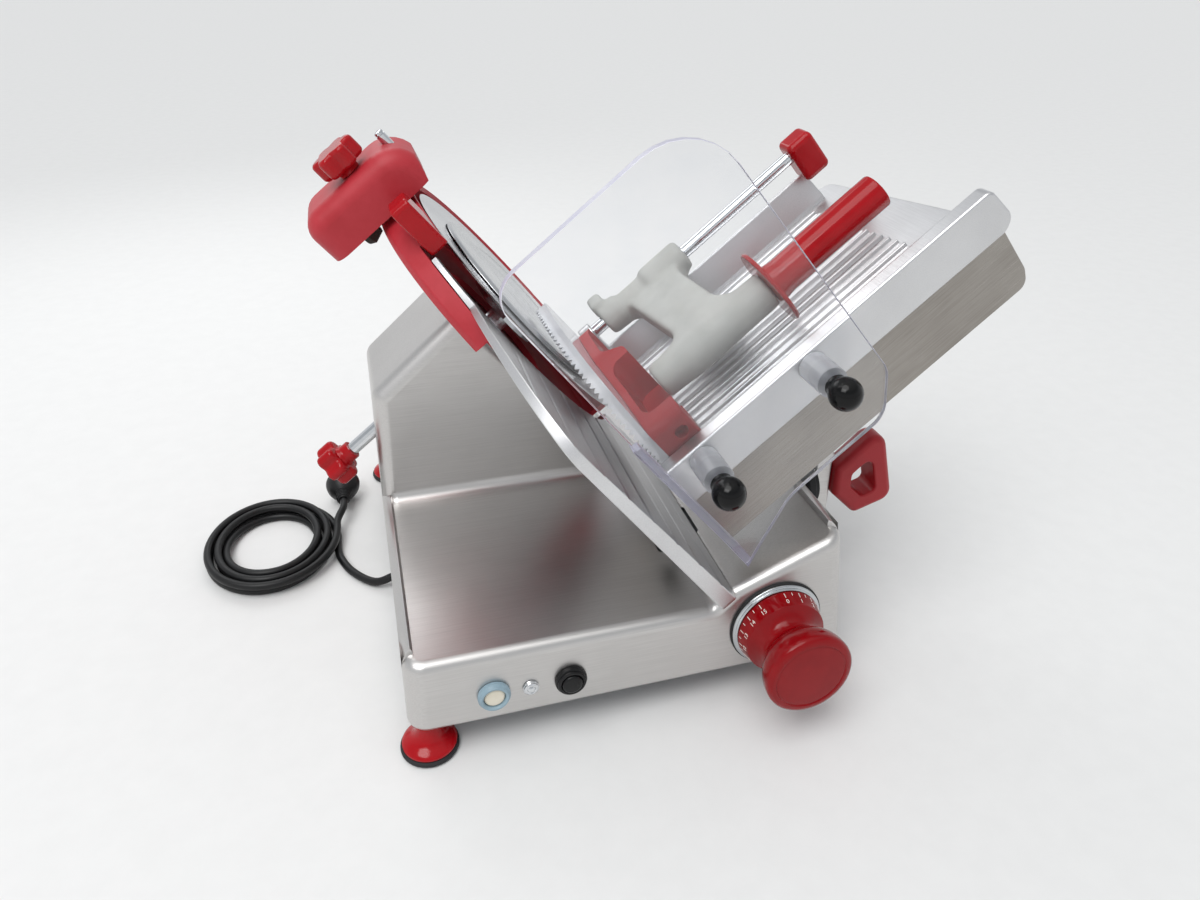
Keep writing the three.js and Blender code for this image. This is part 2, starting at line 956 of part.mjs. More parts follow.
function bearingHousing() {
  const inner = spindle.outer / 2 + seat;
  const outer = spindle.bearingOuter / 2;
  const flangeLeft = housing.face - base.wall - seat - spindle.bearingFlangeThickness;
  const profile = [
    [bearingLeft, inner],
    [bearingLeft, outer],
    [flangeLeft, outer],
    [flangeLeft, spindle.bearingFlange / 2],
    [housing.face - base.wall - seat, spindle.bearingFlange / 2],
    [housing.face - base.wall - seat, outer],
    [housing.face + seat, outer],
    [housing.face + seat, inner],
  ];
  return turnedX(profile, blade.y, blade.z, mediumRound);
}

// Motor, with a flange on the inside of the housing's face, and its pulley beside the spindle's
const motorRight = housing.face - base.wall - seat;
const motorLeft = motorRight - motor.length;

function motorBody() {
  const body = turnedX(
    [
      [motorLeft, 0],
      [motorLeft, motor.radius * 0.8],
      [motorLeft + motor.shaft, motor.radius],
      [motorRight - motor.shaft, motor.radius],
      [motorRight - motor.shaft, motor.radius * 0.85],
      [motorRight, motor.radius * 0.85],
      [motorRight, 0],
    ],
    motor.y,
    motor.z,
    mediumRound,
  );
  const shaft = turnedX(
    bar(pulleyLeft - motor.shaft, motorLeft - seat + overrun, motor.shaft / 2),
    motor.y,
    motor.z,
    smallRound,
  );
  return body.add(shaft);
}

function motorPulley() {
  const bore = motor.shaft / 2 + seat;
  const groove = spindle.pulleyWidth / 4;
  const profile = [
    [pulleyLeft, bore],
    [pulleyLeft, motor.pulleyRadius],
    [pulleyLeft + groove, motor.pulleyRadius - groove],
    [pulleyRight - groove, motor.pulleyRadius - groove],
    [pulleyRight, motor.pulleyRadius],
    [pulleyRight, bore],
  ];
  return turnedX(profile, motor.y, motor.z, smallRound);
}

// A belt's run round two pulleys, drawn in the plane across their axes
function beltLoop(reach) {
  const first = new THREE.Vector2(blade.y, blade.z);
  const second = new THREE.Vector2(motor.y, motor.z);
  const line = second.clone().sub(first);
  const groove = spindle.pulleyWidth / 4;
  const large = spindle.pulleyRadius - groove + reach;
  const small = motor.pulleyRadius - groove + reach;
  const heading = line.angle();
  const open = Math.acos((large - small) / line.length());
  const points = [];
  const arc = (centre, radius, from, to) => {
    for (let i = 0; i <= cornerSteps * 2; i += 1) {
      const angle = from + ((to - from) * i) / (cornerSteps * 2);
      points.push(new THREE.Vector2(centre.x + radius * Math.cos(angle), centre.y + radius * Math.sin(angle)));
    }
  };
  arc(first, large, heading + open, heading + Math.PI * 2 - open);
  arc(second, small, heading - open, heading + open);
  return new THREE.Shape(points);
}

function driveBelt() {
  const groove = spindle.pulleyWidth / 4;
  const left = pulleyLeft + groove + seat;
  const right = pulleyRight - groove - seat;
  const outer = alongX(beltLoop(runningGap / 2 + motor.beltThickness), left, right);
  const inner = alongX(beltLoop(runningGap / 2), left - overrun, right + overrun);
  return outer.subtract(inner);
}

tilted.add(piece("blade", bladeDisc(), steel()));
tilted.add(piece("blade_spindle", bladeSpindle(), steel()));
tilted.add(piece("blade_bearing", bearingHousing(), aluminium()));
tilted.add(piece("motor", motorBody(), finish(0x3b3f44, 0.6, 0.4)));
tilted.add(piece("motor_pulley", motorPulley(), aluminium()));
tilted.add(piece("drive_belt", driveBelt(), rubber()));

// Guard ring: a dish behind the blade whose rim stands round it, open where the blade cuts
function guardRing() {
  const back = housing.face + seat * 2;
  const front = back + ring.rise;
  const profile = [
    [back, ring.openRadius],
    [back + ring.web, ring.openRadius],
    [back + ring.web, ring.radius - ring.wall * 2],
    [back + ring.web + ring.wall, ring.radius - ring.wall],
    [front - ring.rimLip, ring.radius - ring.wall],
    [front, ring.radius - ring.wall / 2],
    [front, ring.radius],
    [back + ring.wall, ring.radius],
    [back, ring.radius - ring.wall],
  ];
  const whole = turnedX(profile, blade.y, blade.z, largeRound);
  const far = ring.radius * 2;
  const from = ring.openFromShare * Math.PI * 2;
  const to = ring.openToShare * Math.PI * 2;
  const wedge = [];
  for (let i = 0; i <= cornerSteps; i += 1) {
    const angle = from + ((to - from) * i) / cornerSteps;
    wedge.push(new THREE.Vector2(blade.y + far * Math.cos(angle), blade.z + far * Math.sin(angle)));
  }
  const near = ring.frontRadius - ring.wall;
  for (let i = 0; i <= cornerSteps * 4; i += 1) {
    const angle = to + ((from - to) * i) / (cornerSteps * 4);
    wedge.push(new THREE.Vector2(blade.y + near * Math.cos(angle), blade.z + near * Math.sin(angle)));
  }
  const reach = sharpener.stoneRadius + runningGap * 2;
  const notch = block(
    back - overrun,
    front + overrun,
    sharpener.stoneY - reach,
    sharpener.stoneY + reach,
    sharpener.stoneZ - reach,
    blade.z + far,
  );
  return whole.subtract(alongX(new THREE.Shape(wedge), back - overrun, front + overrun)).subtract(notch);
}

function coverPlate() {
  const left = blade.face + seat;
  const right = left + cover.thickness;
  const profile = [
    [left, 0],
    [left, cover.radius],
    [right, cover.radius - cover.thickness],
    [right, 0],
  ];
  return turnedX(profile, blade.y, blade.z, largeRound);
}

const knobRight = cover.rodOut + starKnob.neck;

function coverRod() {
  return turnedX(bar(knobRight + seat, blade.face, cover.rodDiameter / 2), blade.y, blade.z, smallRound);
}

function coverKnob() {
  const body = alongX(
    star(starKnob.radius, starKnob.lobes, starKnob.lobeDepth),
    cover.rodOut - starKnob.thickness,
    cover.rodOut,
  );
  const placed = body.translate([0, blade.y, blade.z]);
  const neck = turnedX(bar(cover.rodOut - overrun, knobRight, starKnob.neckRadius), blade.y, blade.z, smallRound);
  return placed.add(neck);
}

tilted.add(piece("guard_ring", guardRing(), redPaint()));
tilted.add(piece("blade_cover", coverPlate(), aluminium()));
tilted.add(piece("cover_rod", coverRod(), steel()));
tilted.add(piece("cover_knob", coverKnob(), redPlastic()));

// Block at the front end of the guard ring
function guardBlock() {
  const corners = rectangle(
    sharpener.blockFront,
    sharpener.blockBack,
    blade.z + ring.radius / 2,
    sharpener.blockTop,
    sharpener.round / 2,
  );
  const right = housing.face + seat * 2 + ring.rise;
  const keep = turnedX(bar(0, right + overrun, ring.radius + seat), blade.y, blade.z, largeRound);
  return alongX(corners, sharpener.blockLeft, right).subtract(keep);
}

// Sharpener body: a rounded cap, open below over the stone
function sharpenerBody() {
  const side = [
    [sharpener.left, sharpener.bottom, 0],
    [sharpener.right - sharpener.skin, sharpener.bottom, 0],
    [sharpener.right, (sharpener.bottom + sharpener.top) / 2, sharpener.skin],
    [sharpener.right - sharpener.round, sharpener.top, sharpener.round],
    [sharpener.left, sharpener.top, sharpener.round],
  ];
  const plan = rectangle(sharpener.left, sharpener.right, sharpener.front, sharpener.back, sharpener.round);
  const across = rectangle(
    sharpener.front,
    sharpener.back,
    sharpener.bottom,
    sharpener.top,
    sharpener.round,
  ).map((corner, i) => (i < 2 ? [corner[0], corner[1], 0] : corner));
  const outer = alongY(side, sharpener.front, sharpener.back)
    .intersect(alongZ(plan, sharpener.bottom, sharpener.top))
    .intersect(alongX(across, sharpener.left, sharpener.right));
  const hollow = alongY(
    inset(side, sharpener.skin, sharpener.round / 2).map((corner, i) =>
      i < 2 ? [corner[0], sharpener.bottom - overrun, 0] : corner,
    ),
    sharpener.front + sharpener.skin,
    sharpener.back - sharpener.skin,
  );
  const pinHole = turnedZ(
    bar(sharpener.top - sharpener.round * 2, sharpener.top + overrun, sharpener.pinRadius + seat),
    sharpener.pinX,
    blade.y,
    smallRound,
  );
  const postTop = sharpener.bottom + sharpener.skin;
  const socket = turnedZ(
    pipe(postTop, sharpener.top - sharpener.skin + seat, sharpener.postRadius / 2, sharpener.postRadius),
    sharpener.knobX,
    sharpener.postY,
    smallRound,
  );
  const hanger = block(
    sharpener.stoneX - sharpener.skin * 4,
    sharpener.stoneX - sharpener.skin * 3,
    sharpener.stoneY - sharpener.skin * 2,
    sharpener.back - sharpener.skin + seat,
    sharpener.stoneZ - sharpener.skin * 1.4,
    sharpener.top - sharpener.skin + seat,
  );
  const bore = turnedX(
    bar(sharpener.left, sharpener.right, sharpener.spindle / 2 + seat),
    sharpener.stoneY,
    sharpener.stoneZ,
    smallRound,
  ).intersect(block(sharpener.stoneX - sharpener.skin * 5, sharpener.stoneX, 0, base.depth, 0, base.width));
  return outer.subtract(hollow).add(socket).add(hanger).subtract(pinHole).subtract(bore);
}

function sharpenerKnob() {
  const low = sharpener.top + seat;
  const body = alongZ(
    star(starKnob.radius, starKnob.lobes, starKnob.lobeDepth),
    low + starKnob.neck / 2,
    low + starKnob.neck / 2 + starKnob.thickness,
  ).translate([sharpener.knobX, sharpener.postY, 0]);
  const neck = turnedZ(bar(low, low + starKnob.neck, starKnob.neckRadius), sharpener.knobX, sharpener.postY, smallRound);
  return body.add(neck);
}

// Post on the guard ring that the sharpener sits on
function sharpenerPost() {
  const foot = alongX(
    rectangle(
      sharpener.postY - sharpener.postRadius,
      sharpener.postY + sharpener.postRadius,
      blade.z + ring.radius - ring.wall * 2,
      sharpener.bottom + sharpener.skin / 2,
      sharpener.skin / 2,
    ),
    sharpener.knobX - sharpener.postRadius,
    sharpener.knobX + sharpener.postRadius,
  );
  const keep = turnedX(bar(0, base.width, ring.radius + seat), blade.y, blade.z, largeRound);
  const pin = turnedZ(
    bar(sharpener.bottom, sharpener.top - sharpener.skin * 2, sharpener.postRadius / 2 - seat),
    sharpener.knobX,
    sharpener.postY,
    smallRound,
  );
  return foot.subtract(keep).add(pin);
}

// Grinding stone on its spindle, with the rubber cap that presses it to the blade
function grindingStone() {
  const right = sharpener.stoneX + sharpener.stoneThickness;
  const z = sharpener.stoneZ;
  const profile = [
    [sharpener.capX, 0],
    [sharpener.capX, sharpener.capRadius * 0.8],
    [sharpener.capX + sharpener.capLength / 3, sharpener.capRadius],
    [sharpener.capX + sharpener.capLength, sharpener.capRadius * 0.7],
    [sharpener.capX + sharpener.capLength, sharpener.spindle / 2],
    [sharpener.stoneX, sharpener.spindle / 2],
    [sharpener.stoneX, sharpener.stoneRadius * 0.7],
    [right - sharpener.spindle / 4, sharpener.stoneRadius],
    [right, sharpener.stoneRadius],
    [right, 0],
  ];
  return turnedX(profile, sharpener.stoneY, z, mediumRound);
}

function sharpenerPin() {
  const low = sharpener.top - sharpener.skin * 3;
  const profile = [
    [low, 0],
    [low, sharpener.pinRadius],
    [sharpener.top + sharpener.pinOut - sharpener.pinRadius / 3, sharpener.pinRadius],
    [sharpener.top + sharpener.pinOut, sharpener.pinRadius * 0.7],
    [sharpener.top + sharpener.pinOut, 0],
  ];
  return turnedZ(profile, sharpener.pinX, blade.y, smallRound);
}

tilted.add(piece("guard_block", guardBlock(), redPlastic()));
tilted.add(piece("sharpener_body", sharpenerBody(), redPaint()));
tilted.add(piece("sharpener_knob", sharpenerKnob(), redPlastic()));
tilted.add(piece("sharpener_post", sharpenerPost(), redPaint()));
tilted.add(piece("grinding_stone", grindingStone(), blackPlastic()));
tilted.add(piece("sharpener_pin", sharpenerPin(), steel()));

// Carriage tray: a boxed front lip over an apron, a ribbed floor and a raised back wall
function carriageTray() {
  const lip = alongY(
    [
      [tray.left, tray.top - tray.lipHeight, 0],
      [tray.right - tray.ribWidth, tray.top - tray.lipHeight, tray.apronCorner],
      [tray.right + tray.ribWidth, tray.floor, tray.apronCorner],
      [tray.right, tray.top, tray.apronCorner / 2],
      [tray.left, tray.top, 0],
    ],
    tray.front,
    tray.front + tray.lipDepth,
  );
  const apron = alongY(
    [
      [tray.left, tray.apronBottom, 0],
      [tray.right - tray.ribWidth * 2, tray.apronBottom, tray.apronCorner],
      [tray.right - tray.ribWidth, tray.apronBottom + tray.apronCorner, tray.apronCorner],
      [tray.right - tray.ribWidth, tray.top - tray.lipHeight + overrun, 0],
      [tray.left, tray.top - tray.lipHeight + overrun, 0],
    ],
    tray.front + tray.apronSkin,
    tray.front + tray.apronSkin * 2,
  );
  const floor = alongZ(
    [
      [tray.left, tray.front + tray.lipDepth - overrun, 0],
      [tray.right - tray.ribWidth * 2, tray.front + tray.lipDepth - overrun, 0],
      [tray.right - tray.ribWidth * 2, tray.front + tray.lipDepth * 3, tray.apronCorner],
      [tray.backRight, tray.back, tray.apronCorner],
      [tray.left, tray.back, 0],
    ],
    tray.floor - tray.floorSkin,
    tray.floor,
  );
  const back = alongX(
    [
      [tray.back - tray.backWall, tray.floor - tray.floorSkin, 0],
      [tray.back, tray.floor - tray.floorSkin, 0],
      [tray.back, tray.backTop - tray.ribWidth, tray.ribHeight],
      [tray.back - tray.ribWidth, tray.backTop, tray.ribHeight],
      [tray.back - tray.backWall, tray.floor + tray.ribHeight, tray.ribHeight],
    ],
    tray.left,
    tray.backRight - tray.apronCorner,
  );
  let made = lip.add(apron).add(floor).add(back).add(trayRibs());
  made = made.add(rodLug());
  return made;
}

// Ribs along the tray's floor
function trayRibs() {
  const first = tray.front + tray.lipDepth * 2;
  const span = tray.back - tray.backWall - tray.ribWidth * 2 - first;
  const pitch = span / (tray.ribs - 1);
  let made;
  for (let i = 0; i < tray.ribs; i += 1) {
    const y = first + pitch * i;
    const rib = alongX(
      [
        [y - tray.ribWidth / 2, tray.floor - seat, 0],
        [y + tray.ribWidth / 2, tray.floor - seat, 0],
        [y + tray.ribWidth / 4, tray.floor + tray.ribHeight, 0],
        [y - tray.ribWidth / 4, tray.floor + tray.ribHeight, 0],
      ],
      tray.left + tray.ribShort,
      tray.backRight - tray.apronCorner - (pitch * i) / tray.ribs,
    );
    made = made ? made.add(rib) : rib;
  }
  return made;
}

// Lug on the back wall round the left end of the pusher's rod
function rodLug() {
  const half = rod.diameter / 2 + rod.lugReach / 2;
  const plate = alongX(
    [
      [rod.y - half, tray.floor, 0],
      [rod.y + half, tray.floor, 0],
      [rod.y + half, rod.z + half, half / 2],
      [rod.y - half, rod.z + half, half / 2],
    ],
    rod.left - rod.lugWidth / 2,
    rod.left + rod.lugWidth / 2,
  );
  const bore = turnedX(bar(rod.left - seat, rod.left + rod.lugWidth, rod.diameter / 2 + seat), rod.y, rod.z, smallRound);
  return plate.subtract(bore);
}

function rodEndSupport() {
  const half = rod.capWidth / 2;
  const left = rod.right - half;
  const right = rod.right + half;
  const body = alongX(
    [
      [rod.y - half, tray.backTop + seat, 0],
      [rod.y + half, tray.backTop + seat, 0],
      [rod.y + half, rod.z + half, half / 2],
      [rod.y - half, rod.z + half, half / 2],
    ],
    left,
    right,
  ).intersect(
    alongY(
      [
        [left, tray.backTop, 0],
        [right - half / 2, tray.backTop, half / 2],
        [right, rod.z - half / 2, half / 2],
        [right, rod.z + half, half / 2],
        [left, rod.z + half, 0],
      ],
      rod.y - half - overrun,
      rod.y + half + overrun,
    ),
  );
  const bore = turnedX(bar(left - overrun, rod.right + seat, rod.diameter / 2 + seat), rod.y, rod.z, smallRound);
  return body.subtract(bore);
}

tilted.add(piece("carriage_tray", carriageTray(), aluminium()));
tilted.add(
  piece("pusher_rod", turnedX(bar(rod.left, rod.right, rod.diameter / 2), rod.y, rod.z, smallRound), steel()),
);
tilted.add(piece("rod_end_support", rodEndSupport(), redPlastic()));

// Carriage arm: a post under the tray, a plate outside the base and a foot through its wall to the slider
const armTop = tray.floor - tray.floorSkin - seat;
const armFront = arm.y - arm.width / 2;
const armBack = arm.y + arm.width / 2;
const plateLeft = base.width + arm.standOff;
const plateRight = plateLeft + arm.plateThickness;
const footLow = base.underside + arm.footAbove;
const footHigh = footLow + arm.footHeight;
const rodAxisZ = base.underside + arm.rodAbove;

function carriageArm() {
  const postRight = arm.postLeft + arm.postThickness;
  const post = alongY(
    [
      [arm.postLeft - arm.postThickness, armTop, 0],
      [arm.postLeft, armTop - arm.postThickness, arm.postThickness],
      [machineInTilt(plateLeft, kneeHeight)[0], machineInTilt(plateLeft, kneeHeight)[1], 0],
      [machineInTilt(plateRight, kneeHeight)[0], machineInTilt(plateRight, kneeHeight)[1], 0],
      [postRight, armTop - arm.postThickness, arm.postThickness],
      [postRight + arm.postThickness, armTop, 0],
    ],
    armFront,
    armBack,
  );
  const plate = alongY(
    [
      [plateLeft, footLow, 0],
      [plateRight, footLow, arm.plateThickness / 2],
      [plateRight, kneeHeight + overrun, 0],
      [plateLeft, kneeHeight + overrun, 0],
    ],
    armFront,
    armBack,
  );
  const foot = block(arm.rodX + arm.blockWidth / 2 - overrun, plateRight - arm.plateThickness / 2, armFront, armBack, footLow, footHigh);
  const slider = alongY(
    rectangle(
      arm.rodX - arm.blockWidth / 2,
      arm.rodX + arm.blockWidth / 2,
      rodAxisZ - arm.blockHeight / 2,
      rodAxisZ + arm.blockHeight / 2,
      arm.blockWidth / 8,
    ),
    arm.y - arm.blockLength / 2,
    arm.y + arm.blockLength / 2,
  );
  const bore = turnedY(
    bar(arm.y - arm.blockLength, arm.y + arm.blockLength, arm.rodDiameter / 2 + seat),
    arm.rodX,
    rodAxisZ,
    smallRound,
  );
  return toMachine(post).add(plate).add(foot).add(slider).subtract(bore);
}

const kneeHeight = machineZ(arm.postLeft, arm.kneeZ);

// A machine-frame point of a side view, in the tilted frame
function machineInTilt(x, z) {
  return [x * cosTilt + z * sinTilt, tiltedZ(x, z)];
}

function guideRod() {
  return turnedY(
    bar(base.wall + seat, base.depth - base.wall - seat, arm.rodDiameter / 2),
    arm.rodX,
    rodAxisZ,
    smallRound,
  );
}

function armCap() {
  const right = plateLeft - seat;
  const left = right - arm.capThickness;
  const profile = [
    [left, 0],
    [left, arm.capRadius * 0.8],
    [left + arm.capThickness / 4, arm.capRadius],
    [right - arm.capThickness / 3, arm.capRadius],
    [right - arm.capThickness / 4, arm.capRadius * 0.85],
    [right, arm.capRadius * 0.85],
    [right, 0],
  ];
  return turnedX(profile, loop.y, base.underside + arm.capAbove, mediumRound);
}

// Loop handle on the outside of the arm
function armHandle() {
  const half = loop.width / 2;
  const left = plateRight + seat;
  const right = plateRight + loop.reach;
  const corners = [
    [left, loop.bottom + loop.bar * 2, loop.bar / 2],
    [left + loop.bar * 2, loop.bottom, loop.bar / 2],
    [right, loop.bottom + loop.bar, loop.bar],
    [right - loop.bar * 1.6, loop.top, loop.bar],
    [left, loop.bottom + loop.bar * 4.2, loop.bar / 2],
  ];
  const outer = alongY(corners, loop.y - half, loop.y + half);
  const holeCorners = inset(corners, loop.bar * 0.8, loop.bar / 2);
  return outer.subtract(alongY(holeCorners, loop.y - half - overrun, loop.y + half + overrun));
}

machine.add(piece("carriage_arm", carriageArm(), aluminium()));
machine.add(piece("guide_rod", guideRod(), steel()));
machine.add(piece("arm_cap", armCap(), rubber()));
machine.add(piece("arm_handle", armHandle(), redPaint()));

// Clear hand guard in front of the tray, on two spacers
function handGuard() {
  const body = alongY(
    [
      [guard.left, guard.tip, 0],
      [guard.left + guard.bar * 2, guard.tip + guard.bar, guard.bar],
      [guard.left + guard.bar * 10, guard.bottom, guard.smallCorner * 2],
      [guard.right - guard.smallCorner, guard.bottom, guard.smallCorner],
      [guard.right, guard.bottom + guard.smallCorner * 1.5, guard.smallCorner],
      [guard.right, guard.top, guard.largeCorner],
      [guard.left + guard.bar, guard.top, guard.smallCorner],
    ],
    0,
    guard.thickness,
    cornerSteps * 2,
  );
  const flange = alongY(
    [
      [guard.left, guard.tip, 0],
      [guard.left + guard.bar, guard.tip, 0],
      [guard.left + guard.bar, guard.top / 3, 0],
      [guard.left, guard.top / 3, 0],
    ],
    guard.thickness - seat,
    guard.barDepth,
  );
  return body.add(flange).subtract(guardHole(guard.fixingNear)).subtract(guardHole(guard.fixingFar));
}

const guardHole = (x) =>
  turnedY(bar(-overrun, guard.thickness + overrun, guard.spacerBore), x, guard.fixingZ, smallRound);

function spacer(x) {
  return turnedY(
    pipe(guard.thickness + seat, tray.front - seat, guard.spacerBore, guard.spacerRadius),
    x,
    guard.fixingZ,
    mediumRound,
  );
}

function ballKnob(x) {
  const ball = new THREE.SphereGeometry(guard.ballRadius, smallRound, smallRound / 2);
  const placed = solid(ball.translate(x, -guard.ballOut, guard.fixingZ));
  const neck = turnedY(bar(-guard.ballOut, -seat, guard.ballRadius * 0.7), x, guard.fixingZ, smallRound);
  const stud = turnedY(bar(-guard.ballOut, tray.front - seat, guard.spacerBore - seat), x, guard.fixingZ, smallRound);
  return placed.add(neck).add(stud);
}

tilted.add(piece("hand_guard", handGuard(), clear()));
tilted.add(piece("guard_spacer_near", spacer(guard.fixingNear), clear()));
tilted.add(piece("guard_spacer_far", spacer(guard.fixingFar), clear()));
tilted.add(piece("guard_ball_near", ballKnob(guard.fixingNear), blackPlastic()));
tilted.add(piece("guard_ball_far", ballKnob(guard.fixingFar), blackPlastic()));

// Pusher: a bush on the rod, the arm that swings on it, the grip, the pressing plate and its toothed shield
const bushInner = rod.diameter / 2 + seat;
const bushOuter = bushInner + pusher.bushWall;

function pusherBush() {
  const left = pusher.bossLeft - seat * 2;
  const right = pusher.sleeveRight + seat * 2;
  return turnedX(pipe(left, right, bushInner, bushOuter), rod.y, rod.z, smallRound);
}

function pusherArm() {
  const sleeve = turnedX(
    [
      [pusher.sleeveLeft, 0],
      [pusher.sleeveLeft, pusher.sleeve],
      [pusher.sleeveRight - overrun, pusher.sleeve],
      [pusher.sleeveRight, pusher.sleeve - overrun],
      [pusher.sleeveRight, 0],
    ],
    rod.y,
    rod.z,
    mediumRound,
  );
  const boss = turnedX(bar(pusher.bossLeft, pusher.bossRight, pusher.sleeve * 0.9), rod.y, rod.z, mediumRound);
  const stem = turnedX(
    [
      [pusher.stemLeft, 0],
      [pusher.stemLeft, pusher.stemRadius * 0.8],
      [pusher.stemLeft + overrun, pusher.stemRadius * 0.9],
      [(pusher.sleeveLeft + pusher.bossRight) / 2, pusher.stemRadius],
      [pusher.stemRight, pusher.stemRadius * 0.94],
      [pusher.stemRight, 0],
    ],
    pusher.stemY,
    pusher.stemZ,
    mediumRound,
  );
  const soft = pusher.sleeve;
  const web = alongZ(
    [
      [pusher.bossLeft, rod.y, 0],
      [pusher.bossLeft, rod.y - soft * 0.4, soft / 3],
      [pusher.bossRight, rod.y - soft * 0.4, soft / 3],
      [pusher.bossRight + soft / 2, rod.y - soft * 1.1, soft / 2],
      [pusher.bossRight + soft * 1.3, pusher.stemY + soft, soft],
      [pusher.stemLeft + soft, pusher.stemY, 0],
      [pusher.stemRight - soft, pusher.stemY, 0],
      [pusher.sleeveRight - soft * 0.6, pusher.stemY + soft * 1.4, soft * 2],
      [pusher.sleeveRight - soft, rod.y - soft * 1.5, soft * 2],
      [pusher.sleeveRight - overrun, rod.y, 0],
    ],
    (rod.z + pusher.stemZ) / 2 - pusher.webThickness / 2,
    (rod.z + pusher.stemZ) / 2 + pusher.webThickness / 2,
    4,
  );
  const bore = turnedX(
    bar(pusher.bossLeft - overrun, pusher.sleeveRight + overrun, bushOuter + seat),
    rod.y,
    rod.z,
    smallRound,
  );
  const socket = turnedX(
    bar(pusher.stemRight - pusher.gripRadius, pusher.stemRight + overrun, pusher.gripRadius / 2 + seat),
    pusher.stemY,
    pusher.stemZ,
    smallRound,
  );
  return sleeve.add(boss).add(stem).add(web).subtract(bore).subtract(socket);
}

function pusherGrip() {
  const left = pusher.stemRight + seat;
  const right = left + pusher.gripLength;
  const radius = pusher.gripRadius;
  const profile = [
    [left - radius + seat * 2, 0],
    [left - radius + seat * 2, radius / 2],
    [left, radius / 2],
    [left, pusher.flangeRadius - overrun],
    [left + pusher.flangeThickness / 2, pusher.flangeRadius],
    [left + pusher.flangeThickness, pusher.flangeRadius - overrun],
    [left + pusher.flangeThickness, radius * 1.1],
    [left + radius, radius],
    [right - overrun, radius],
    [right, radius - overrun],
    [right, radius * 0.6],
    [right - radius / 2, radius * 0.5],
    [right - radius / 2, 0],
  ];
  return turnedX(profile, pusher.stemY, pusher.stemZ, mediumRound);
}

function pusherPlate() {
  const left = pusher.shieldLeft + pusher.shieldThickness + seat;
  const skin = left + pusher.plateSkin;
  const deep = left + pusher.plateDepth;
  const front = pusher.plateFront;
  const back = pusher.plateBack;
  const soft = pusher.plateSkin / 2;
  const saddle = pusher.stemRadius + seat * 2;
  const plan = alongZ(
    [
      [left, front, 0],
      [deep + soft, front, soft],
      [deep + soft, pusher.stemY - saddle * 1.3, soft],
      [pusher.stemLeft - seat * 2, pusher.stemY - saddle, soft],
      [pusher.stemLeft - seat * 2, pusher.stemY + saddle, soft],
      [deep, pusher.stemY + saddle * 1.2, soft],
      [deep, pusher.stemY + saddle * 1.6, soft],
      [skin, pusher.stemY + saddle * 2.1, soft * 2],
      [skin, back - soft * 3, soft],
      [skin + soft, back, soft],
      [left, back, 0],
    ],
    pusher.plateBottom,
    pusher.plateTop,
    4,
  );
  const round = pusher.plateSkin;
  const face = alongX(
    [
      [front, pusher.plateBottom, round],
      [back, pusher.plateBottom, round],
      [back, pusher.plateTop, round],
      [pusher.stemY + saddle * 2, pusher.plateTop, round * 3],
      [pusher.stemY, pusher.stemZ + pusher.stemRadius, round * 2],
      [front, pusher.stemZ + pusher.stemRadius / 2, round],
    ],
    left - overrun,
    deep + round,
    4,
  );
  return plan.intersect(face);
}

// Clear shield with pointed teeth along its lower edge
function toothedShield() {
  const low = pusher.shieldBottom;
  const front = pusher.shieldFront;
  const back = pusher.shieldBack;
  const pitch = (back - front) / pusher.teeth;
  const shape = new THREE.Shape();
  shape.moveTo(front, low + pusher.toothHeight);
  for (let i = 0; i < pusher.teeth; i += 1) {
    shape.lineTo(front + pitch * (i + 0.5), low);
    shape.lineTo(front + pitch * (i + 1), low + pusher.toothHeight);
  }
  const high = pusher.shieldTop;
  const corner = pusher.toothHeight * 4;
  shape.lineTo(back, high - corner);
  shape.quadraticCurveTo(back, high, back - corner, high);
  shape.lineTo(back - corner * 2, high);
  shape.bezierCurveTo(
    pusher.stemY,
    high,
    front + corner,
    (high + low) / 2 + corner,
    front,
    (high + low) / 2 - corner,
  );
  shape.closePath();
  return alongX(shape, pusher.shieldLeft, pusher.shieldLeft + pusher.shieldThickness, 8);
}

tilted.add(piece("pusher_bush", pusherBush(), blackPlastic()));
tilted.add(piece("pusher_arm", pusherArm(), greyPlastic()));
tilted.add(piece("pusher_grip", pusherGrip(), redPlastic()));
tilted.add(piece("pusher_plate", pusherPlate(), redPaint()));
tilted.add(piece("pusher_shield", toothedShield(), clear()));

// Mains cord: strain relief under the base, a lead to the coil, the coil on the table and the plug
const cordRadius = cord.diameter / 2;
const cordBed = cordRadius + seat;
const layerRise = cord.diameter + cord.gap;

function ringSection(sides) {
  const points = [];
  for (let i = 0; i < sides; i += 1) {
    const angle = (i / sides) * Math.PI * 2;
    points.push(new THREE.Vector2(cordRadius * Math.cos(angle), cordRadius * Math.sin(angle)));
  }
  return new THREE.Shape(points);
}

const tube = (path, steps, sides) =>
  solid(new THREE.ExtrudeGeometry(ringSection(sides), { steps, extrudePath: path, bevelEnabled: false }));

function strainRelief() {
  const top = base.underside - seat;
  const right = cord.exitX + cord.glandLength;
  const half = cord.glandRadius;
  const cone = turnedX(
    [
      [cord.exitX, 0],
      [cord.exitX, cord.glandTip],
      [right - half, half],
      [right, half],
      [right, 0],
    ],
    cord.exitY,
    cord.exitZ,
    smallRound,
  );
  const stand = block(right - half * 2, right, cord.exitY - half, cord.exitY + half, cord.exitZ - half, top);
  return cone.add(stand);
}

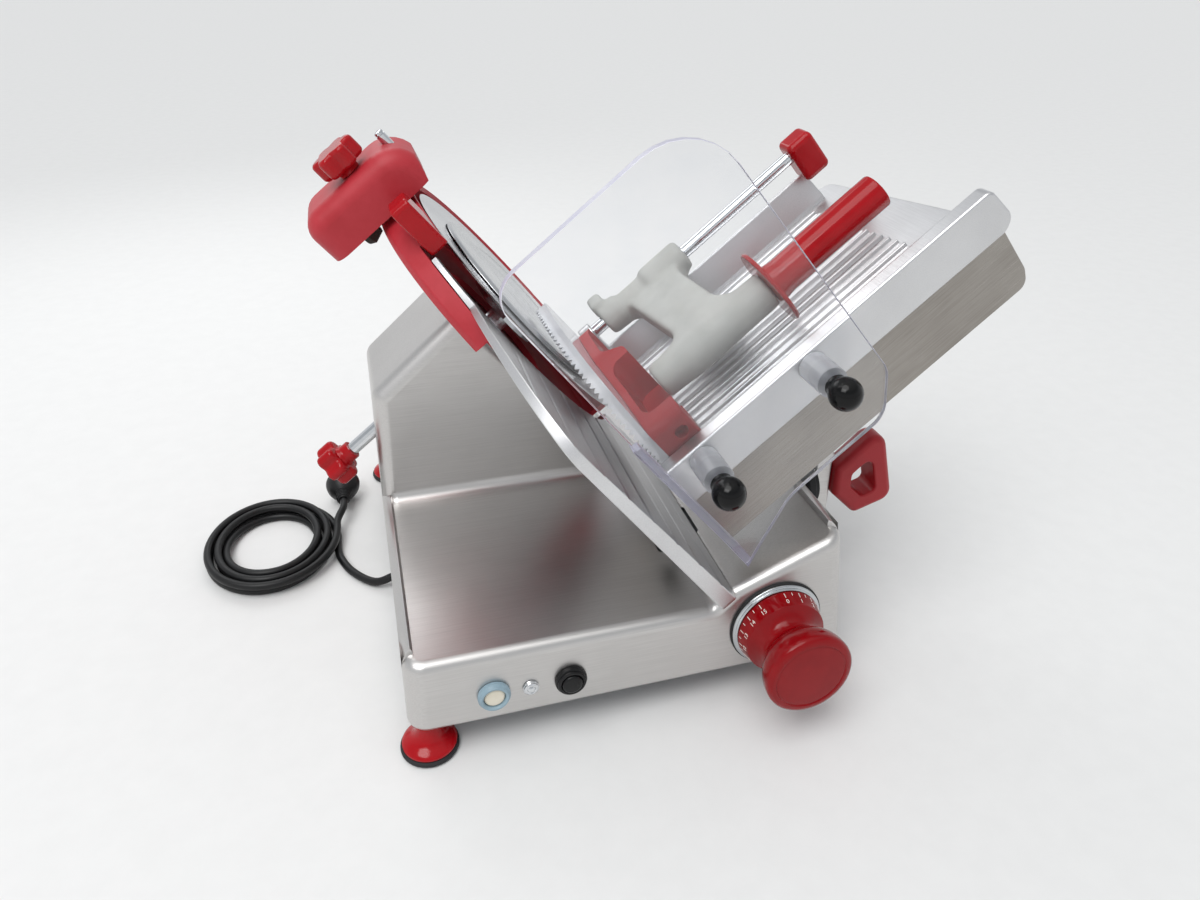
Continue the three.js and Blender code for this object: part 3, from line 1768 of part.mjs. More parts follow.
// The coil runs in along the table, climbs a layer and runs out again above it
class CoilCurve extends THREE.Curve {
  getPoint(share, target = new THREE.Vector3()) {
    const inward = (cord.loops - 0.5) / 2;
    const turns = share * cord.loops;
    const climb = THREE.MathUtils.clamp((turns - inward) / 0.5, 0, 1);
    const run = turns < inward ? turns : Math.max(inward, turns - 0.5);
    const drawn = cord.step * (run < inward ? run : inward * 2 - run);
    const smooth = climb * climb * (3 - climb * 2);
    const angle = turns * Math.PI * 2;
    target.set(
      cord.coilX + (cord.coilHalfWidth - drawn) * Math.cos(angle),
      cord.coilY + (cord.coilHalfDepth - drawn) * Math.sin(angle),
      cordBed + layerRise * smooth,
    );
    return target;
  }
}

const coilCurve = new CoilCurve();
const coilStart = new THREE.Vector3(cord.coilX + cord.coilHalfWidth, cord.coilY, cordBed);
const coilEnd = coilStart.clone().setZ(cordBed + layerRise);

function coilPath() {
  const points = [coilStart.clone().setY(cord.coilY - cord.diameter * 2), coilStart.clone().setY(cord.coilY - cord.diameter)];
  const count = cord.loops * 24;
  for (let i = 0; i <= count; i += 1) points.push(coilCurve.getPoint(i / count));
  const plugFace = new THREE.Vector3(cord.plugX, cord.plugY - seat, cord.plugZ);
  points.push(coilEnd.clone().lerp(plugFace, 0.35).setX(coilEnd.x + cord.gap));
  points.push(plugFace.clone().setY(plugFace.y - cord.diameter * 1.5));
  points.push(plugFace.clone().setY(plugFace.y - cord.diameter));
  points.push(plugFace);
  return points;
}

function cordCoil() {
  const points = coilPath();
  console.log("coil: least gap to itself", leastGap(points).toFixed(2), "mm");
  const curve = new THREE.CatmullRomCurve3(points, false, "centripetal");
  return tube(curve, Math.round(points.length * 1.05), 6);
}

// Least clear distance between two stretches of the cord that aren't neighbours
function leastGap(points) {
  const fine = new THREE.CatmullRomCurve3(points, false, "centripetal").getSpacedPoints(points.length * 4);
  const step = fine[0].distanceTo(fine[1]);
  const skip = Math.ceil((cord.diameter * 4) / step);
  let least = Infinity;
  for (let i = 0; i < fine.length; i += 1) {
    for (let j = i + skip; j < fine.length; j += 1) {
      least = Math.min(least, fine[i].distanceTo(fine[j]) - cord.diameter);
    }
  }
  return least;
}

// Stations of the lead from the strain relief to the coil
function leadPoints() {
  const start = new THREE.Vector3(cord.exitX - seat, cord.exitY, cord.exitZ);
  const end = coilStart.clone().setY(cord.coilY - cord.diameter * 2 - seat);
  const table = cordBed;
  return [
    start,
    new THREE.Vector3(cord.exitX - cord.diameter, cord.exitY, cord.exitZ - seat),
    new THREE.Vector3(cord.exitX - cord.diameter * 3.4, cord.exitY + cord.diameter * 0.6, table + cordRadius / 2),
    new THREE.Vector3(end.x + cord.diameter * 1.7, end.y - cord.diameter * 6, table),
    new THREE.Vector3(end.x + cord.diameter * 0.25, end.y - cord.diameter * 2.6, table),
    end.clone().setY(end.y - cord.diameter),
    end,
  ];
}

function cordLead() {
  return tube(new THREE.CatmullRomCurve3(leadPoints(), false, "centripetal"), 14, 8);
}

function plugBody() {
  const start = cord.plugY;
  const end = start + cord.plugLength;
  const profile = [
    [start, 0],
    [start, cord.glandTip],
    [start + cord.plugLength * 0.35, cord.plugRadius * 0.55],
    [start + cord.plugLength * 0.6, cord.plugRadius * 0.85],
    [end - cord.glandTip, cord.plugRadius],
    [end, cord.plugRadius],
    [end, 0],
  ];
  return turnedY(profile, cord.plugX, cord.plugZ, mediumRound);
}

function plugPin(side) {
  const start = cord.plugY + cord.plugLength + seat;
  const end = start + cord.pinLength;
  const profile = [
    [start, 0],
    [start, cord.pinRadius],
    [end - cord.pinRadius, cord.pinRadius],
    [end, cord.pinRadius / 2],
    [end, 0],
  ];
  return turnedY(profile, cord.plugX + (side * cord.pinSpacing) / 2, cord.plugZ, smallRound);
}

machine.add(piece("cord_gland", strainRelief(), rubber()));
machine.add(piece("cord_lead", cordLead(), rubber()));
machine.add(piece("cord_coil", cordCoil(), rubber()));
machine.add(piece("plug_body", plugBody(), rubber()));
machine.add(piece("plug_pin_left", plugPin(-1), finish(0xc9b06a, 0.3, 1)));
machine.add(piece("plug_pin_right", plugPin(1), finish(0xc9b06a, 0.3, 1)));

// The origin is under the middle of the machine without its cord, on the table
const cordNames = new Set(["cord_lead", "cord_coil", "plug_body", "plug_pin_left", "plug_pin_right"]);
group.updateMatrixWorld(true);
const extent = new THREE.Box3();
group.traverse((node) => {
  if (node.isMesh && !cordNames.has(node.name)) extent.expandByObject(node, true);
});
const middle = extent.getCenter(new THREE.Vector3());
machine.position.set(-middle.x, -middle.y, -extent.min.z);

export default group;
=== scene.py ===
from math import acos, atan, atan2, cos, pi, radians, sin, tan, tau

import bmesh
import bpy
from mathutils import Matrix, Vector


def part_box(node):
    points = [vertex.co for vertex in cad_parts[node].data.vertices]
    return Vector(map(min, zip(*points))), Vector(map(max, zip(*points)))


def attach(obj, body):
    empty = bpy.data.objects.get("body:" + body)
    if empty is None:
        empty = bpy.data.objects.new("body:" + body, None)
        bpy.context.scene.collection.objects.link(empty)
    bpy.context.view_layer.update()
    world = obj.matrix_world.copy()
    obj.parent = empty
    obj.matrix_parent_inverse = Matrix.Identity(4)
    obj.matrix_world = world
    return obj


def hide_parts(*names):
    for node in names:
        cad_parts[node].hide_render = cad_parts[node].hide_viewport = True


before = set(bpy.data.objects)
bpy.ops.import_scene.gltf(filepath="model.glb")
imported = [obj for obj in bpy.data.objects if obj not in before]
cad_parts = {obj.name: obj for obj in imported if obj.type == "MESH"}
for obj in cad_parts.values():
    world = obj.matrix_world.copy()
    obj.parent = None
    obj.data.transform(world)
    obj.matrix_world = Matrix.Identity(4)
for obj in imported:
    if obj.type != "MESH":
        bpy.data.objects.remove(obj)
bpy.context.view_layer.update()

# The camera.
# It stands in front of the machine, a little to its left, and looks down on the deck, as in the photograph.
# Millimetres count from the base's front left corner on the table, X to the right, Y back and Z up.
MM = 0.001
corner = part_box("base_casing")[0]
machine = Matrix.Translation((corner.x, corner.y, 0))
yaw, pitch, roll = radians(16.17), radians(24.99), radians(-0.646)
ahead = Vector((sin(yaw) * cos(pitch), cos(yaw) * cos(pitch), -sin(pitch)))
level = Vector((cos(yaw), -sin(yaw), 0))
down = ahead.cross(level)
right = level * cos(roll) + down * sin(roll)
below = down * cos(roll) - level * sin(roll)
stands_at = Vector((-0.77, -496.8, 568.83)) * MM
image_width, focal_pixels, lowered_pixels, sensor_width = 1200, 894.4, 100, 36
camera = bpy.data.objects.new("camera", bpy.data.cameras.new("camera"))
turned_to_view = Matrix((right, -below, -ahead)).transposed().to_4x4()
camera.matrix_world = machine @ Matrix.Translation(stands_at) @ turned_to_view
camera.data.sensor_width = sensor_width
camera.data.lens = focal_pixels / image_width * sensor_width
camera.data.shift_y = -lowered_pixels / image_width
camera.data.clip_start = 0.02
bpy.context.collection.objects.link(camera)
bpy.context.scene.camera = camera
bpy.context.scene.view_settings.view_transform = "Standard"


# The mains cord.
# Round flexible PVC lead, extruded, 7.6 mm thick: out of its strain relief under the base, round one bend,
# then a coil of five turns on the table in two layers, and up to the plug.
def linear(colour):
    """An sRGB hex colour as the linear values that a shader takes."""
    parts = [int(colour[i:i + 2], 16) / 255 for i in (1, 3, 5)]
    return [c / 12.92 if c <= 0.04045 else ((c + 0.055) / 1.055) ** 2.4 for c in parts] + [1]


def add(tree, kind, settings=(), links=()):
    """Add one shader node with its settings, by socket or property, and link other nodes' outputs into it."""
    made = tree.nodes.new(kind)
    for name, value in dict(settings).items():
        if isinstance(name, int) or name in made.inputs:
            made.inputs[name].default_value = value
        else:
            setattr(made, name, value)
    for name, source in dict(links).items():
        tree.links.new(source, made.inputs[name])
    return made


def surface(name, colour, **settings):
    """Start a material with its shader's settings, and give its nodes and a point's place on the object."""
    made = bpy.data.materials.new(name)
    made.use_nodes = True
    made.diffuse_color = linear(colour)
    for socket, value in settings.items():
        made.node_tree.nodes["Principled BSDF"].inputs[socket.replace("_", " ")].default_value = value
    return made, made.node_tree, add(made.node_tree, "ShaderNodeTexCoord").outputs["Object"]


def finish(tree, colours, pattern, gloss, gloss_span, height, relief, depth):
    """Share out two colours and the gloss by a pattern, and raise the skin by a height."""
    share = add(tree, "ShaderNodeMapRange", {"From Min": 0.35, "From Max": 0.65}, {"Value": pattern})
    tint = add(tree, "ShaderNodeMix", {"data_type": "RGBA", 6: linear(colours[0]), 7: linear(colours[1])},
               {0: share.outputs[0]})
    wear = add(tree, "ShaderNodeMapRange", {"From Min": gloss_span[0], "From Max": gloss_span[1],
                                            "To Min": gloss[0], "To Max": gloss[1]}, {"Value": pattern})
    bump = add(tree, "ShaderNodeBump", {"Strength": relief, "Distance": depth * MM}, {"Height": height})
    shader = tree.nodes["Principled BSDF"].inputs
    tree.links.new(tint.outputs[2], shader["Base Color"])
    tree.links.new(wear.outputs[0], shader["Roughness"])
    tree.links.new(bump.outputs[0], shader["Normal"])


# An eroded or orange-peel skin has a grain of 0.1 to 0.3 mm: it is drawn at 0.6 to 3 mm, so that it shows.
def moulded(name, colour, second, gloss, skin, relief, **settings):
    """A moulded or coated surface: two close shades in soft clouds, an uneven gloss and a fine skin."""
    made, tree, place = surface(name, colour, **settings)
    cloud_size, skin_depth = 24, 0.2
    clouds = add(tree, "ShaderNodeTexNoise", {"Scale": 1 / (cloud_size * MM), "Detail": 6, "Roughness": 0.6},
                 {"Vector": place})
    fine = add(tree, "ShaderNodeTexNoise", {"Scale": 1 / (skin * MM), "Detail": 3}, {"Vector": place})
    finish(tree, (colour, second), clouds.outputs[0], gloss, (0.3, 0.7), fine.outputs[0], relief, skin_depth)
    return made


# Soft PVC, extruded and moulded: a dull sheen, rubbed brighter in patches
soft_pvc = moulded("soft_pvc", "#0d0d0e", "#151516", (0.34, 0.5), 1.2, 0.15, IOR=1.5, Specular_IOR_Level=0.35)

cord_thick, cord_rise, cord_bed = 7.6, 8.6, 4.1
coil_middle, coil_wide, coil_deep, coil_step, coil_turns = (-112, 298), 64, 74, 9.6, 5
lead_end = (coil_middle[0] + coil_wide, coil_middle[1] - cord_thick * 2 - 0.3)
plug_at = (-40, 342, 18.6)
cord_route = [
    (11.7, 209, 14), (4.4, 209, 13.7), (-13.84, 213.56, cord_bed + 1.9),
    (lead_end[0] + cord_thick * 1.7, lead_end[1] - cord_thick * 6, cord_bed),
    (lead_end[0] + cord_thick * 0.25, lead_end[1] - cord_thick * 2.6, cord_bed),
    (lead_end[0], lead_end[1] - cord_thick, cord_bed), (lead_end[0], lead_end[1] + 0.3, cord_bed),
    (lead_end[0], coil_middle[1] - cord_thick, cord_bed)]
inward = (coil_turns - 0.5) / 2
for i in range(coil_turns * 24 + 1):
    turns = i / 24
    climb = min(max((turns - inward) / 0.5, 0), 1)
    run = turns if turns < inward else max(inward, turns - 0.5)
    drawn = coil_step * (run if run < inward else inward * 2 - run)
    cord_route.append((
        coil_middle[0] + (coil_wide - drawn) * cos(turns * tau),
        coil_middle[1] + (coil_deep - drawn) * sin(turns * tau),
        cord_bed + cord_rise * climb * climb * (3 - 2 * climb)))
cord_route += [(-47, 313.3, 14.8), (-40, 330.6, 18.6), (-40, 334.4, 18.6), (-40, plug_at[1] - 0.3, 18.6)]


def flow(points, count):
    """Points evenly along a smooth curve through the given ones, and the curve's length."""
    points = [Vector(p) for p in points]
    full = [points[0] * 2 - points[1]] + points + [points[-1] * 2 - points[-2]]
    fine = []
    for a, b, c, d in zip(full, full[1:], full[2:], full[3:]):
        t1 = (b - a).length ** 0.5
        t2 = t1 + (c - b).length ** 0.5
        t3 = t2 + (d - c).length ** 0.5
        for k in range(12):
            t = t1 + (t2 - t1) * k / 12
            p = a.lerp(b, t / t1)
            q = b.lerp(c, (t - t1) / (t2 - t1))
            r = c.lerp(d, (t - t2) / (t3 - t2))
            fine.append(p.lerp(q, t / t2).lerp(q.lerp(r, (t - t1) / (t3 - t1)), (t - t1) / (t2 - t1)))
    fine.append(points[-1])
    far = [0]
    for a, b in zip(fine, fine[1:]):
        far.append(far[-1] + (b - a).length)
    even, j = [], 0
    for i in range(count):
        want = far[-1] * i / (count - 1)
        while j < len(far) - 2 and far[j + 1] < want:
            j += 1
        even.append(fine[j].lerp(fine[j + 1], (want - far[j]) / (far[j + 1] - far[j])))
    return even, far[-1]


def stitch(mesh, rings, closed_ends=True):
    """Skin rings of points, given in millimetres, that have the same number of points or just one."""
    rows = [[mesh.verts.new(Vector(p) * MM) for p in ring] for ring in rings]
    for a, b in zip(rows, rows[1:]):
        count = max(len(a), len(b))
        for k in range(count if count > 1 else 0):
            face = [a[k % len(a)], a[(k + 1) % len(a)], b[(k + 1) % len(b)], b[k % len(b)]]
            mesh.faces.new([v for i, v in enumerate(face) if v not in face[:i]])
    for row in (rows[0], rows[-1]) if closed_ends else ():
        if len(row) > 2:
            mesh.faces.new(row)
    return rows


def tube(points, radius, sides):
    """A closed round tube along points."""
    mesh = bmesh.new()
    points = [Vector(p) for p in points]
    side = Vector((0, 0, 1))
    rings = []
    for i, p in enumerate(points):
        along = (points[min(i + 1, len(points) - 1)] - points[max(i - 1, 0)]).normalized()
        side = (side - along * side.dot(along)).normalized()
        other = along.cross(side)
        rings.append([p + (side * cos(k / sides * tau) + other * sin(k / sides * tau)) * radius
                      for k in range(sides)])
    stitch(mesh, rings)
    return mesh


def piece(name, mesh, material, slot, body, *nodes, place=None, crease=35):
    """Put a mesh in the scene, with its material, the body that carries it and the solids it stands for."""
    if place:
        mesh.transform(place)
    bmesh.ops.recalc_face_normals(mesh, faces=mesh.faces)
    data = bpy.data.meshes.new(name)
    mesh.to_mesh(data)
    mesh.free()
    data.shade_smooth()
    data.set_sharp_from_angle(angle=radians(crease))
    data.materials.append(material)
    made = bpy.data.objects.new(name, data)
    made.matrix_world = machine
    bpy.context.collection.objects.link(made)
    even = made.modifiers.new("even_shading", "WEIGHTED_NORMAL")
    even.keep_sharp = True
    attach(made, body)
    if nodes:
        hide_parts(*nodes)
    return made


cord_line, cord_length = flow(cord_route, 460)
cord = piece("mains_cord", tube(cord_line, cord_thick / 2, 14), soft_pvc, "black_rubber", "frame",
             "cord_lead", "cord_coil")


# The plug and the strain relief.
# Round two-pin plug moulded on to the cord, with nickel-plated brass pins. The strain relief is a ribbed
# sleeve in a block under the base, of the same PVC.
def spin(profile, place=(0, 0, 0), axis="X", sides=72, into=None):
    """Turn a profile of (station, radius) about an axis through a point, as a lathe does."""
    mesh = into or bmesh.new()
    along = Vector([float(letter == axis) for letter in "XYZ"])
    side = along.yzx
    other = along.cross(side)
    place = Vector(place)
    place -= along * place.dot(along)
    rings = []
    for station, radius in profile:
        rings.append([place + along * station + (side * cos(k / sides * tau)
                      + other * sin(k / sides * tau)) * radius for k in range(sides if radius else 1)])
    if profile[0][1] and profile[-1][1]:
        rows = stitch(mesh, rings, closed_ends=False)
        for k in range(sides):
            mesh.faces.new((rows[-1][k], rows[-1][(k + 1) % sides], rows[0][(k + 1) % sides], rows[0][k]))
    else:
        stitch(mesh, rings)
    return mesh


def bore(low, high, radius, place, axis="X", sides=40):
    """A plain round bar to cut a hole with."""
    return spin([(low, 0), (low, radius), (high, radius), (high, 0)], place, axis, sides)


plug_profile = [(0, 0), (0, 5.2), (0.4, 5.6)]
for rib in range(5):
    low, thick = 1.4 + rib * 2.4, rib * 0.35
    plug_profile += [(low, 5.8 + thick), (low + 0.6, 7 + thick), (low + 1.4, 7 + thick),
                     (low + 1.8, 5.9 + thick)]
plug_profile += [(14.5, 9.4), (17, 12.4), (20, 14.6), (24, 16.3), (27.5, 17.3), (30, 17.7), (32.4, 17.8),
                 (33.5, 17.4), (34, 16.6), (34, 0)]
plug = piece("plug", spin([(s + plug_at[1], r) for s, r in plug_profile], plug_at, "Y"), soft_pvc,
             "black_rubber", "frame", "plug_body")


# Brushing and turning leave lines 0.05 to 0.1 mm wide: they are drawn at 0.4 to 1.4 mm, so that they show.
def metal(name, colour, second, gloss, line, stretch, relief, patch=40, frame_in=Matrix(), **settings):
    """A worked metal: tool lines of one width, drawn out in a frame, or in rings where X has no share."""
    made, tree, place = surface(name, colour, Metallic=1, **settings)
    line_depth = 0.1
    laid = add(tree, "ShaderNodeMapping", {"vector_type": "TEXTURE", "Location": frame_in.translation,
                                           "Rotation": frame_in.to_euler(), "Scale": stretch},
               {"Vector": place}).outputs[0]
    noise = {"Scale": 1 / (line * MM), "Detail": 5, "Roughness": 0.65}
    if stretch[0] > 1000:
        radius = add(tree, "ShaderNodeVectorMath", {"operation": "LENGTH"}, {0: laid})
        lines = add(tree, "ShaderNodeTexNoise", {"noise_dimensions": "1D", **noise},
                    {"W": radius.outputs["Value"]})
    else:
        lines = add(tree, "ShaderNodeTexNoise", noise, {"Vector": laid})
    tone = add(tree, "ShaderNodeTexNoise", {"Scale": 1 / (patch * MM), "Detail": 4}, {"Vector": place})
    both = add(tree, "ShaderNodeMix", {0: 0.45}, {2: lines.outputs[0], 3: tone.outputs[0]})
    finish(tree, (colour, second), both.outputs[0], gloss, (0.35, 0.65), lines.outputs[0], relief, line_depth)
    return made


tilt = radians(39.6)
lean = Matrix.Rotation(-tilt, 4, "Y")
blade_y, blade_t = 240, 121
blade_place = lean @ Matrix.Translation(Vector((0, blade_y, blade_t)) * MM)
# Nickel-plated brass, drawn: warm and bright, with faint lines along the pin
plated_brass = metal("plated_brass", "#d9cfae", "#cfc39c", (0.18, 0.3), 0.5, (1, 20, 1), 0.1)
pin_profile = [(34.3, 0), (34.3, 2), (36, 2), (36.2, 1.8), (44, 1.8), (44.3, 2.4), (51.6, 2.4), (52.8, 1.9),
               (53.3, 1.1), (53.3, 0)]
for name, side in (("plug_pin_left", -9.5), ("plug_pin_right", 9.5)):
    pin = spin([(s + plug_at[1], r) for s, r in pin_profile], (plug_at[0] + side, 0, plug_at[2]), "Y", 32)
    piece(name + "_drawn", pin, plated_brass, "brass", "frame", name)


# The rounding of an edge that reads as sharp
sharp_edge = 0.05


def shrink(corners, by):
    """An outline of (across, up) or (across, up, fillet), anticlockwise, moved in with fillets to match."""
    moved = []
    for i, (x, y, *given) in enumerate(corners):
        fillet = given[0] if given else sharp_edge
        last, after = corners[i - 1], corners[(i + 1) % len(corners)]
        into = Vector((x - last[0], y - last[1])).normalized()
        out = Vector((after[0] - x, after[1] - y)).normalized()
        total = Vector((-into.y - out.y, into.x + out.x))
        push = 2 * by / total.length_squared
        fillet = max(fillet - by, sharp_edge) if into.cross(out) > 0 else fillet + by
        moved.append((x + total.x * push, y + total.y * push, fillet))
    return moved


def rounded(corners, steps=7):
    """The outline's points, each corner being an arc of its fillet."""
    points = []
    for i, (x, y, fillet) in enumerate(corners):
        here = Vector((x, y))
        before = Vector(corners[i - 1][:2]) - here
        after = Vector(corners[(i + 1) % len(corners)][:2]) - here
        half = before.angle(after) / 2
        reach = min(max(fillet, sharp_edge) / tan(half), before.length * 0.49, after.length * 0.49)
        middle = here + (before.normalized() + after.normalized()).normalized() * reach / cos(half)
        start = here + before.normalized() * reach - middle
        end = here + after.normalized() * reach - middle
        sweep = atan2(start.cross(end), start.dot(end))
        for k in range(steps + 1):
            turn = sweep * k / steps
            points.append(middle + Vector((start.x * cos(turn) - start.y * sin(turn),
                                           start.x * sin(turn) + start.y * cos(turn))))
    return points


def slab(shape, low, high, axis="Y", edge=1.0, steps=4, into=None):
    """Push an outline along an axis, its ends' edges rounded. A shape is corners, or points at an inset."""
    mesh = into or bmesh.new()
    rings = []
    for i in range(steps + 1):
        turn = pi / 2 * i / steps
        rings.append((low + edge * (1 - cos(turn)), edge * (1 - sin(turn))))
    rings += [(low + high - station, inset) for station, inset in reversed(rings)]
    order = {"X": lambda s, p: (s, p[0], p[1]), "Y": lambda s, p: (p[0], s, p[1]), "Z": lambda s,
             p: (p[0], p[1], s)}
    outline = shape if callable(shape) else lambda inset: rounded(shrink(shape, inset))
    stitch(mesh, [[order[axis](station, p) for p in outline(inset)] for station, inset in rings])
    return mesh


def prism(shape, low, high, axis="Y", into=None):
    """Push an outline along an axis, with sharp edges."""
    return slab(shape, low, high, axis, sharp_edge, 1, into)


def box(left, right, low, high, fillet=sharp_edge):
    """A rectangle's corners, anticlockwise."""
    return [(left, low, fillet), (right, low, fillet), (right, high, fillet), (left, high, fillet)]


gland = [(46, 0), (46, 8.4), (30, 8.4), (29, 8.2)]
for rib in range(4):
    high, thick = 28 - rib * 4, rib * 0.45
    gland += [(high, 7.2 - thick), (high - 1, 7.2 - thick), (high - 1.6, 7.9 - thick),
              (high - 3.4, 7.7 - thick)]
gland += [(12, 5.2), (12, 0)]
gland = spin(gland, (0, 209, 14), sides=40)
slab(box(29, 46, 200.5, 217.5, 2), 5, 28.5, "Z", 1, into=gland)
piece("strain_relief", gland, soft_pvc, "black_rubber", "frame", "cord_gland")


# The base.
# One hollow casting of aluminium with the motor housing on it, walls 5 mm thick, brushed along its length to
# a satin. It is open below and closed by a plate of zinc-plated sheet.
def form(mesh):
    """A passing object that holds a closed mesh."""
    bmesh.ops.recalc_face_normals(mesh, faces=mesh.faces)
    data = bpy.data.meshes.new("form")
    mesh.to_mesh(data)
    mesh.free()
    made = bpy.data.objects.new("form", data)
    bpy.context.collection.objects.link(made)
    return made


def worked(*forms):
    """What the first form's modifiers make of it. The forms are cleared away."""
    result = bmesh.new()
    result.from_mesh(forms[0].evaluated_get(bpy.context.evaluated_depsgraph_get()).to_mesh())
    for each in forms:
        data = each.data
        bpy.data.objects.remove(each)
        bpy.data.meshes.remove(data)
    return result


def carve(mesh, *tools, operation="DIFFERENCE"):
    """Cut closed forms out of another, one after the other, or join or cross them."""
    weld, flat_within = 0.002 * MM, radians(0.3)
    for tool in tools:
        block, cutter = form(mesh), form(tool)
        cut = block.modifiers.new("cut", "BOOLEAN")
        cut.operation, cut.object, cut.solver = operation, cutter, "MANIFOLD"
        mesh = worked(block, cutter)
        if not mesh.faces:
            raise ValueError("nothing is left of a carved form")
        bmesh.ops.remove_doubles(mesh, verts=mesh.verts, dist=weld)
        bmesh.ops.dissolve_limit(mesh, angle_limit=flat_within, verts=mesh.verts, edges=mesh.edges)
    return mesh


def join(mesh, *others):
    """Run closed forms into one."""
    return carve(mesh, *others, operation="UNION")


def soften(mesh, width, steps=3, low=-1e6, high=1e6, angle=32, clamp=False):
    """Round the sharp outer edges between two heights, as machining or moulding leaves them."""
    mesh.normal_update()
    sharp = [e for e in mesh.edges if len(e.link_faces) == 2 and e.is_convex
             and e.calc_face_angle() > radians(angle)
             and low * MM < (e.verts[0].co.z + e.verts[1].co.z) / 2 < high * MM]
    bmesh.ops.bevel(mesh, geom=sharp, offset=width * MM, segments=steps, profile=0.5, affect="EDGES",
                    clamp_overlap=clamp)
    return mesh


# Cast aluminium, machined and brushed: bright where the edges are rubbed, with long fine lines
brushed_casting = metal("brushed_cast_aluminium", "#d2d0ce", "#c4c2c0", (0.3, 0.42), 0.9, (60, 1, 1), 0.1, 90)

base_wide, base_deep, base_under, base_top, deck, wall = 360, 425, 28.8, 144.8, 92, 5
housing_front, housing_back, housing_tall = 217, 335, 108
start_x, lamp_x, stop_x, button_z, dial_x, dial_z = 64, 92, 123, 54.2, 292, 70
draft = 13 / (base_top - base_under)
base_side = [(0, base_under), (base_wide, base_under), (base_wide - 13, base_top),
             (255, base_under + 78, 9), (238, deck, 9), (0, deck)]


def plan(inset, low, high, fillet):
    """The base seen from above, from one height to another: its right wall leans in."""
    rings = []
    for height in (low, high):
        side = box(inset, base_wide - inset - draft * (height - base_under), inset, base_deep - inset, fillet)
        rings.append([(p.x, p.y, height) for p in rounded(side, 10)])
    mesh = bmesh.new()
    stitch(mesh, rings)
    return mesh


def housing_side(low):
    """The motor housing's side, whose right face is square to the blade's axis."""
    face, face_top = 240, 159
    foot = (low - face * sin(tilt)) / cos(tilt)
    across = face * cos(tilt)
    return [(0, low), (across - foot * sin(tilt), low),
            (across - face_top * sin(tilt), face * sin(tilt) + face_top * cos(tilt), 15),
            (0, deck + housing_tall, 15)]


base = carve(prism(base_side, -5, base_deep + 5), plan(0, 20, 160, 16), operation="INTERSECT")
base = soften(base, 9, 6, low=60)
base = soften(base, 5, 4, high=base_under + 1)
base = join(base, slab(housing_side(60), housing_front, housing_back, "Y", 14, 8))
# The fillet between the deck and the housing's front, which dies away round its left corner
cove = bmesh.new()
cove_size, bend = 11, 14
cove_path = [(214 - 20 * k, housing_front, -90) for k in range(10)]
cove_path += [(bend + bend * cos(radians(turn)), housing_front + bend + bend * sin(radians(turn)), turn)
              for turn in range(-90, -159, -8)]
cove_rings = []
for x, y, turn in cove_path:
    away = Vector((cos(radians(turn)), sin(radians(turn)), 0))
    reach = max(min(cove_size, x * 0.8), 1)
    foot = Vector((x, y, deck))
    ring = [foot - away * 3 + Vector((0, 0, reach)), foot - away * 3 - Vector((0, 0, 3)),
            foot + away * reach - Vector((0, 0, 3))]
    for k in range(9):
        round_by = pi / 2 * k / 8
        ring.append(foot + away * reach * (1 - sin(round_by)) + Vector((0, 0, reach * (1 - cos(round_by)))))
    cove_rings.append(ring)
stitch(cove, cove_rings)
base = join(base, cove)
hollow_side = shrink(base_side, wall)
hollow_side[:2] = [(wall, 20), (base_wide - wall - 0.6, 20)]
hollow = carve(prism(hollow_side, 0, base_deep), plan(wall, 10, 160, 11), operation="INTERSECT")
housing_hollow = slab(shrink(housing_side(62), wall), housing_front + wall, housing_back - wall, "Y", 6, 4)
# Its openings: the carriage's slot, three holes in front, then the gauge arm's slot, the bearing's seat and
# the cover rod's hole, which lean with the blade
base = carve(base, hollow, housing_hollow, prism(box(92, 373, 49.8, 75.8, 3), 330, 364, "X"))
for x, z, radius in ((start_x, button_z, 8.3), (stop_x, button_z, 8.3), (dial_x, dial_z, 6.3)):
    base = carve(base, bore(-2, 7, radius, (x, 0, z), "Y"))
for cut in (prism(box(229, 266, 81, 119, 3), -105, -41.4, "Z"),
            bore(233, 242, 15.3, (0, blade_y, blade_t), sides=60),
            bore(0, 125, 6.3, (0, blade_y, blade_t))):
    cut.transform(lean)
    base = carve(base, cut)
piece("base_and_housing", base, brushed_casting, "cast_aluminium", "frame", "base_casing", crease=30)


def dress(material, *nodes):
    """Give solids that stay as they are the finish of the real part."""
    for node in nodes:
        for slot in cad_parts[node].material_slots:
            slot.material = material


# Zinc-plated sheet steel: dull silver with the mottle of the plating
zinc_sheet = metal("zinc_plated_sheet", "#b4b6b8", "#9c9fa3", (0.38, 0.55), 6, (1, 1, 1), 0.08, 18)
dress(zinc_sheet, "bottom_plate")

# The feet.
# Trumpet-shaped feet of moulded red nylon, each screwed up into the base and snapped over a rubber pad.

# Glass-smooth moulded nylon: a clean gloss, with a faint flow in the colour
red_nylon = moulded("glossy_red_nylon", "#9e0811", "#a80d17", (0.08, 0.18), 2.5, 0.04, IOR=1.5,
                    Specular_IOR_Level=0.28)
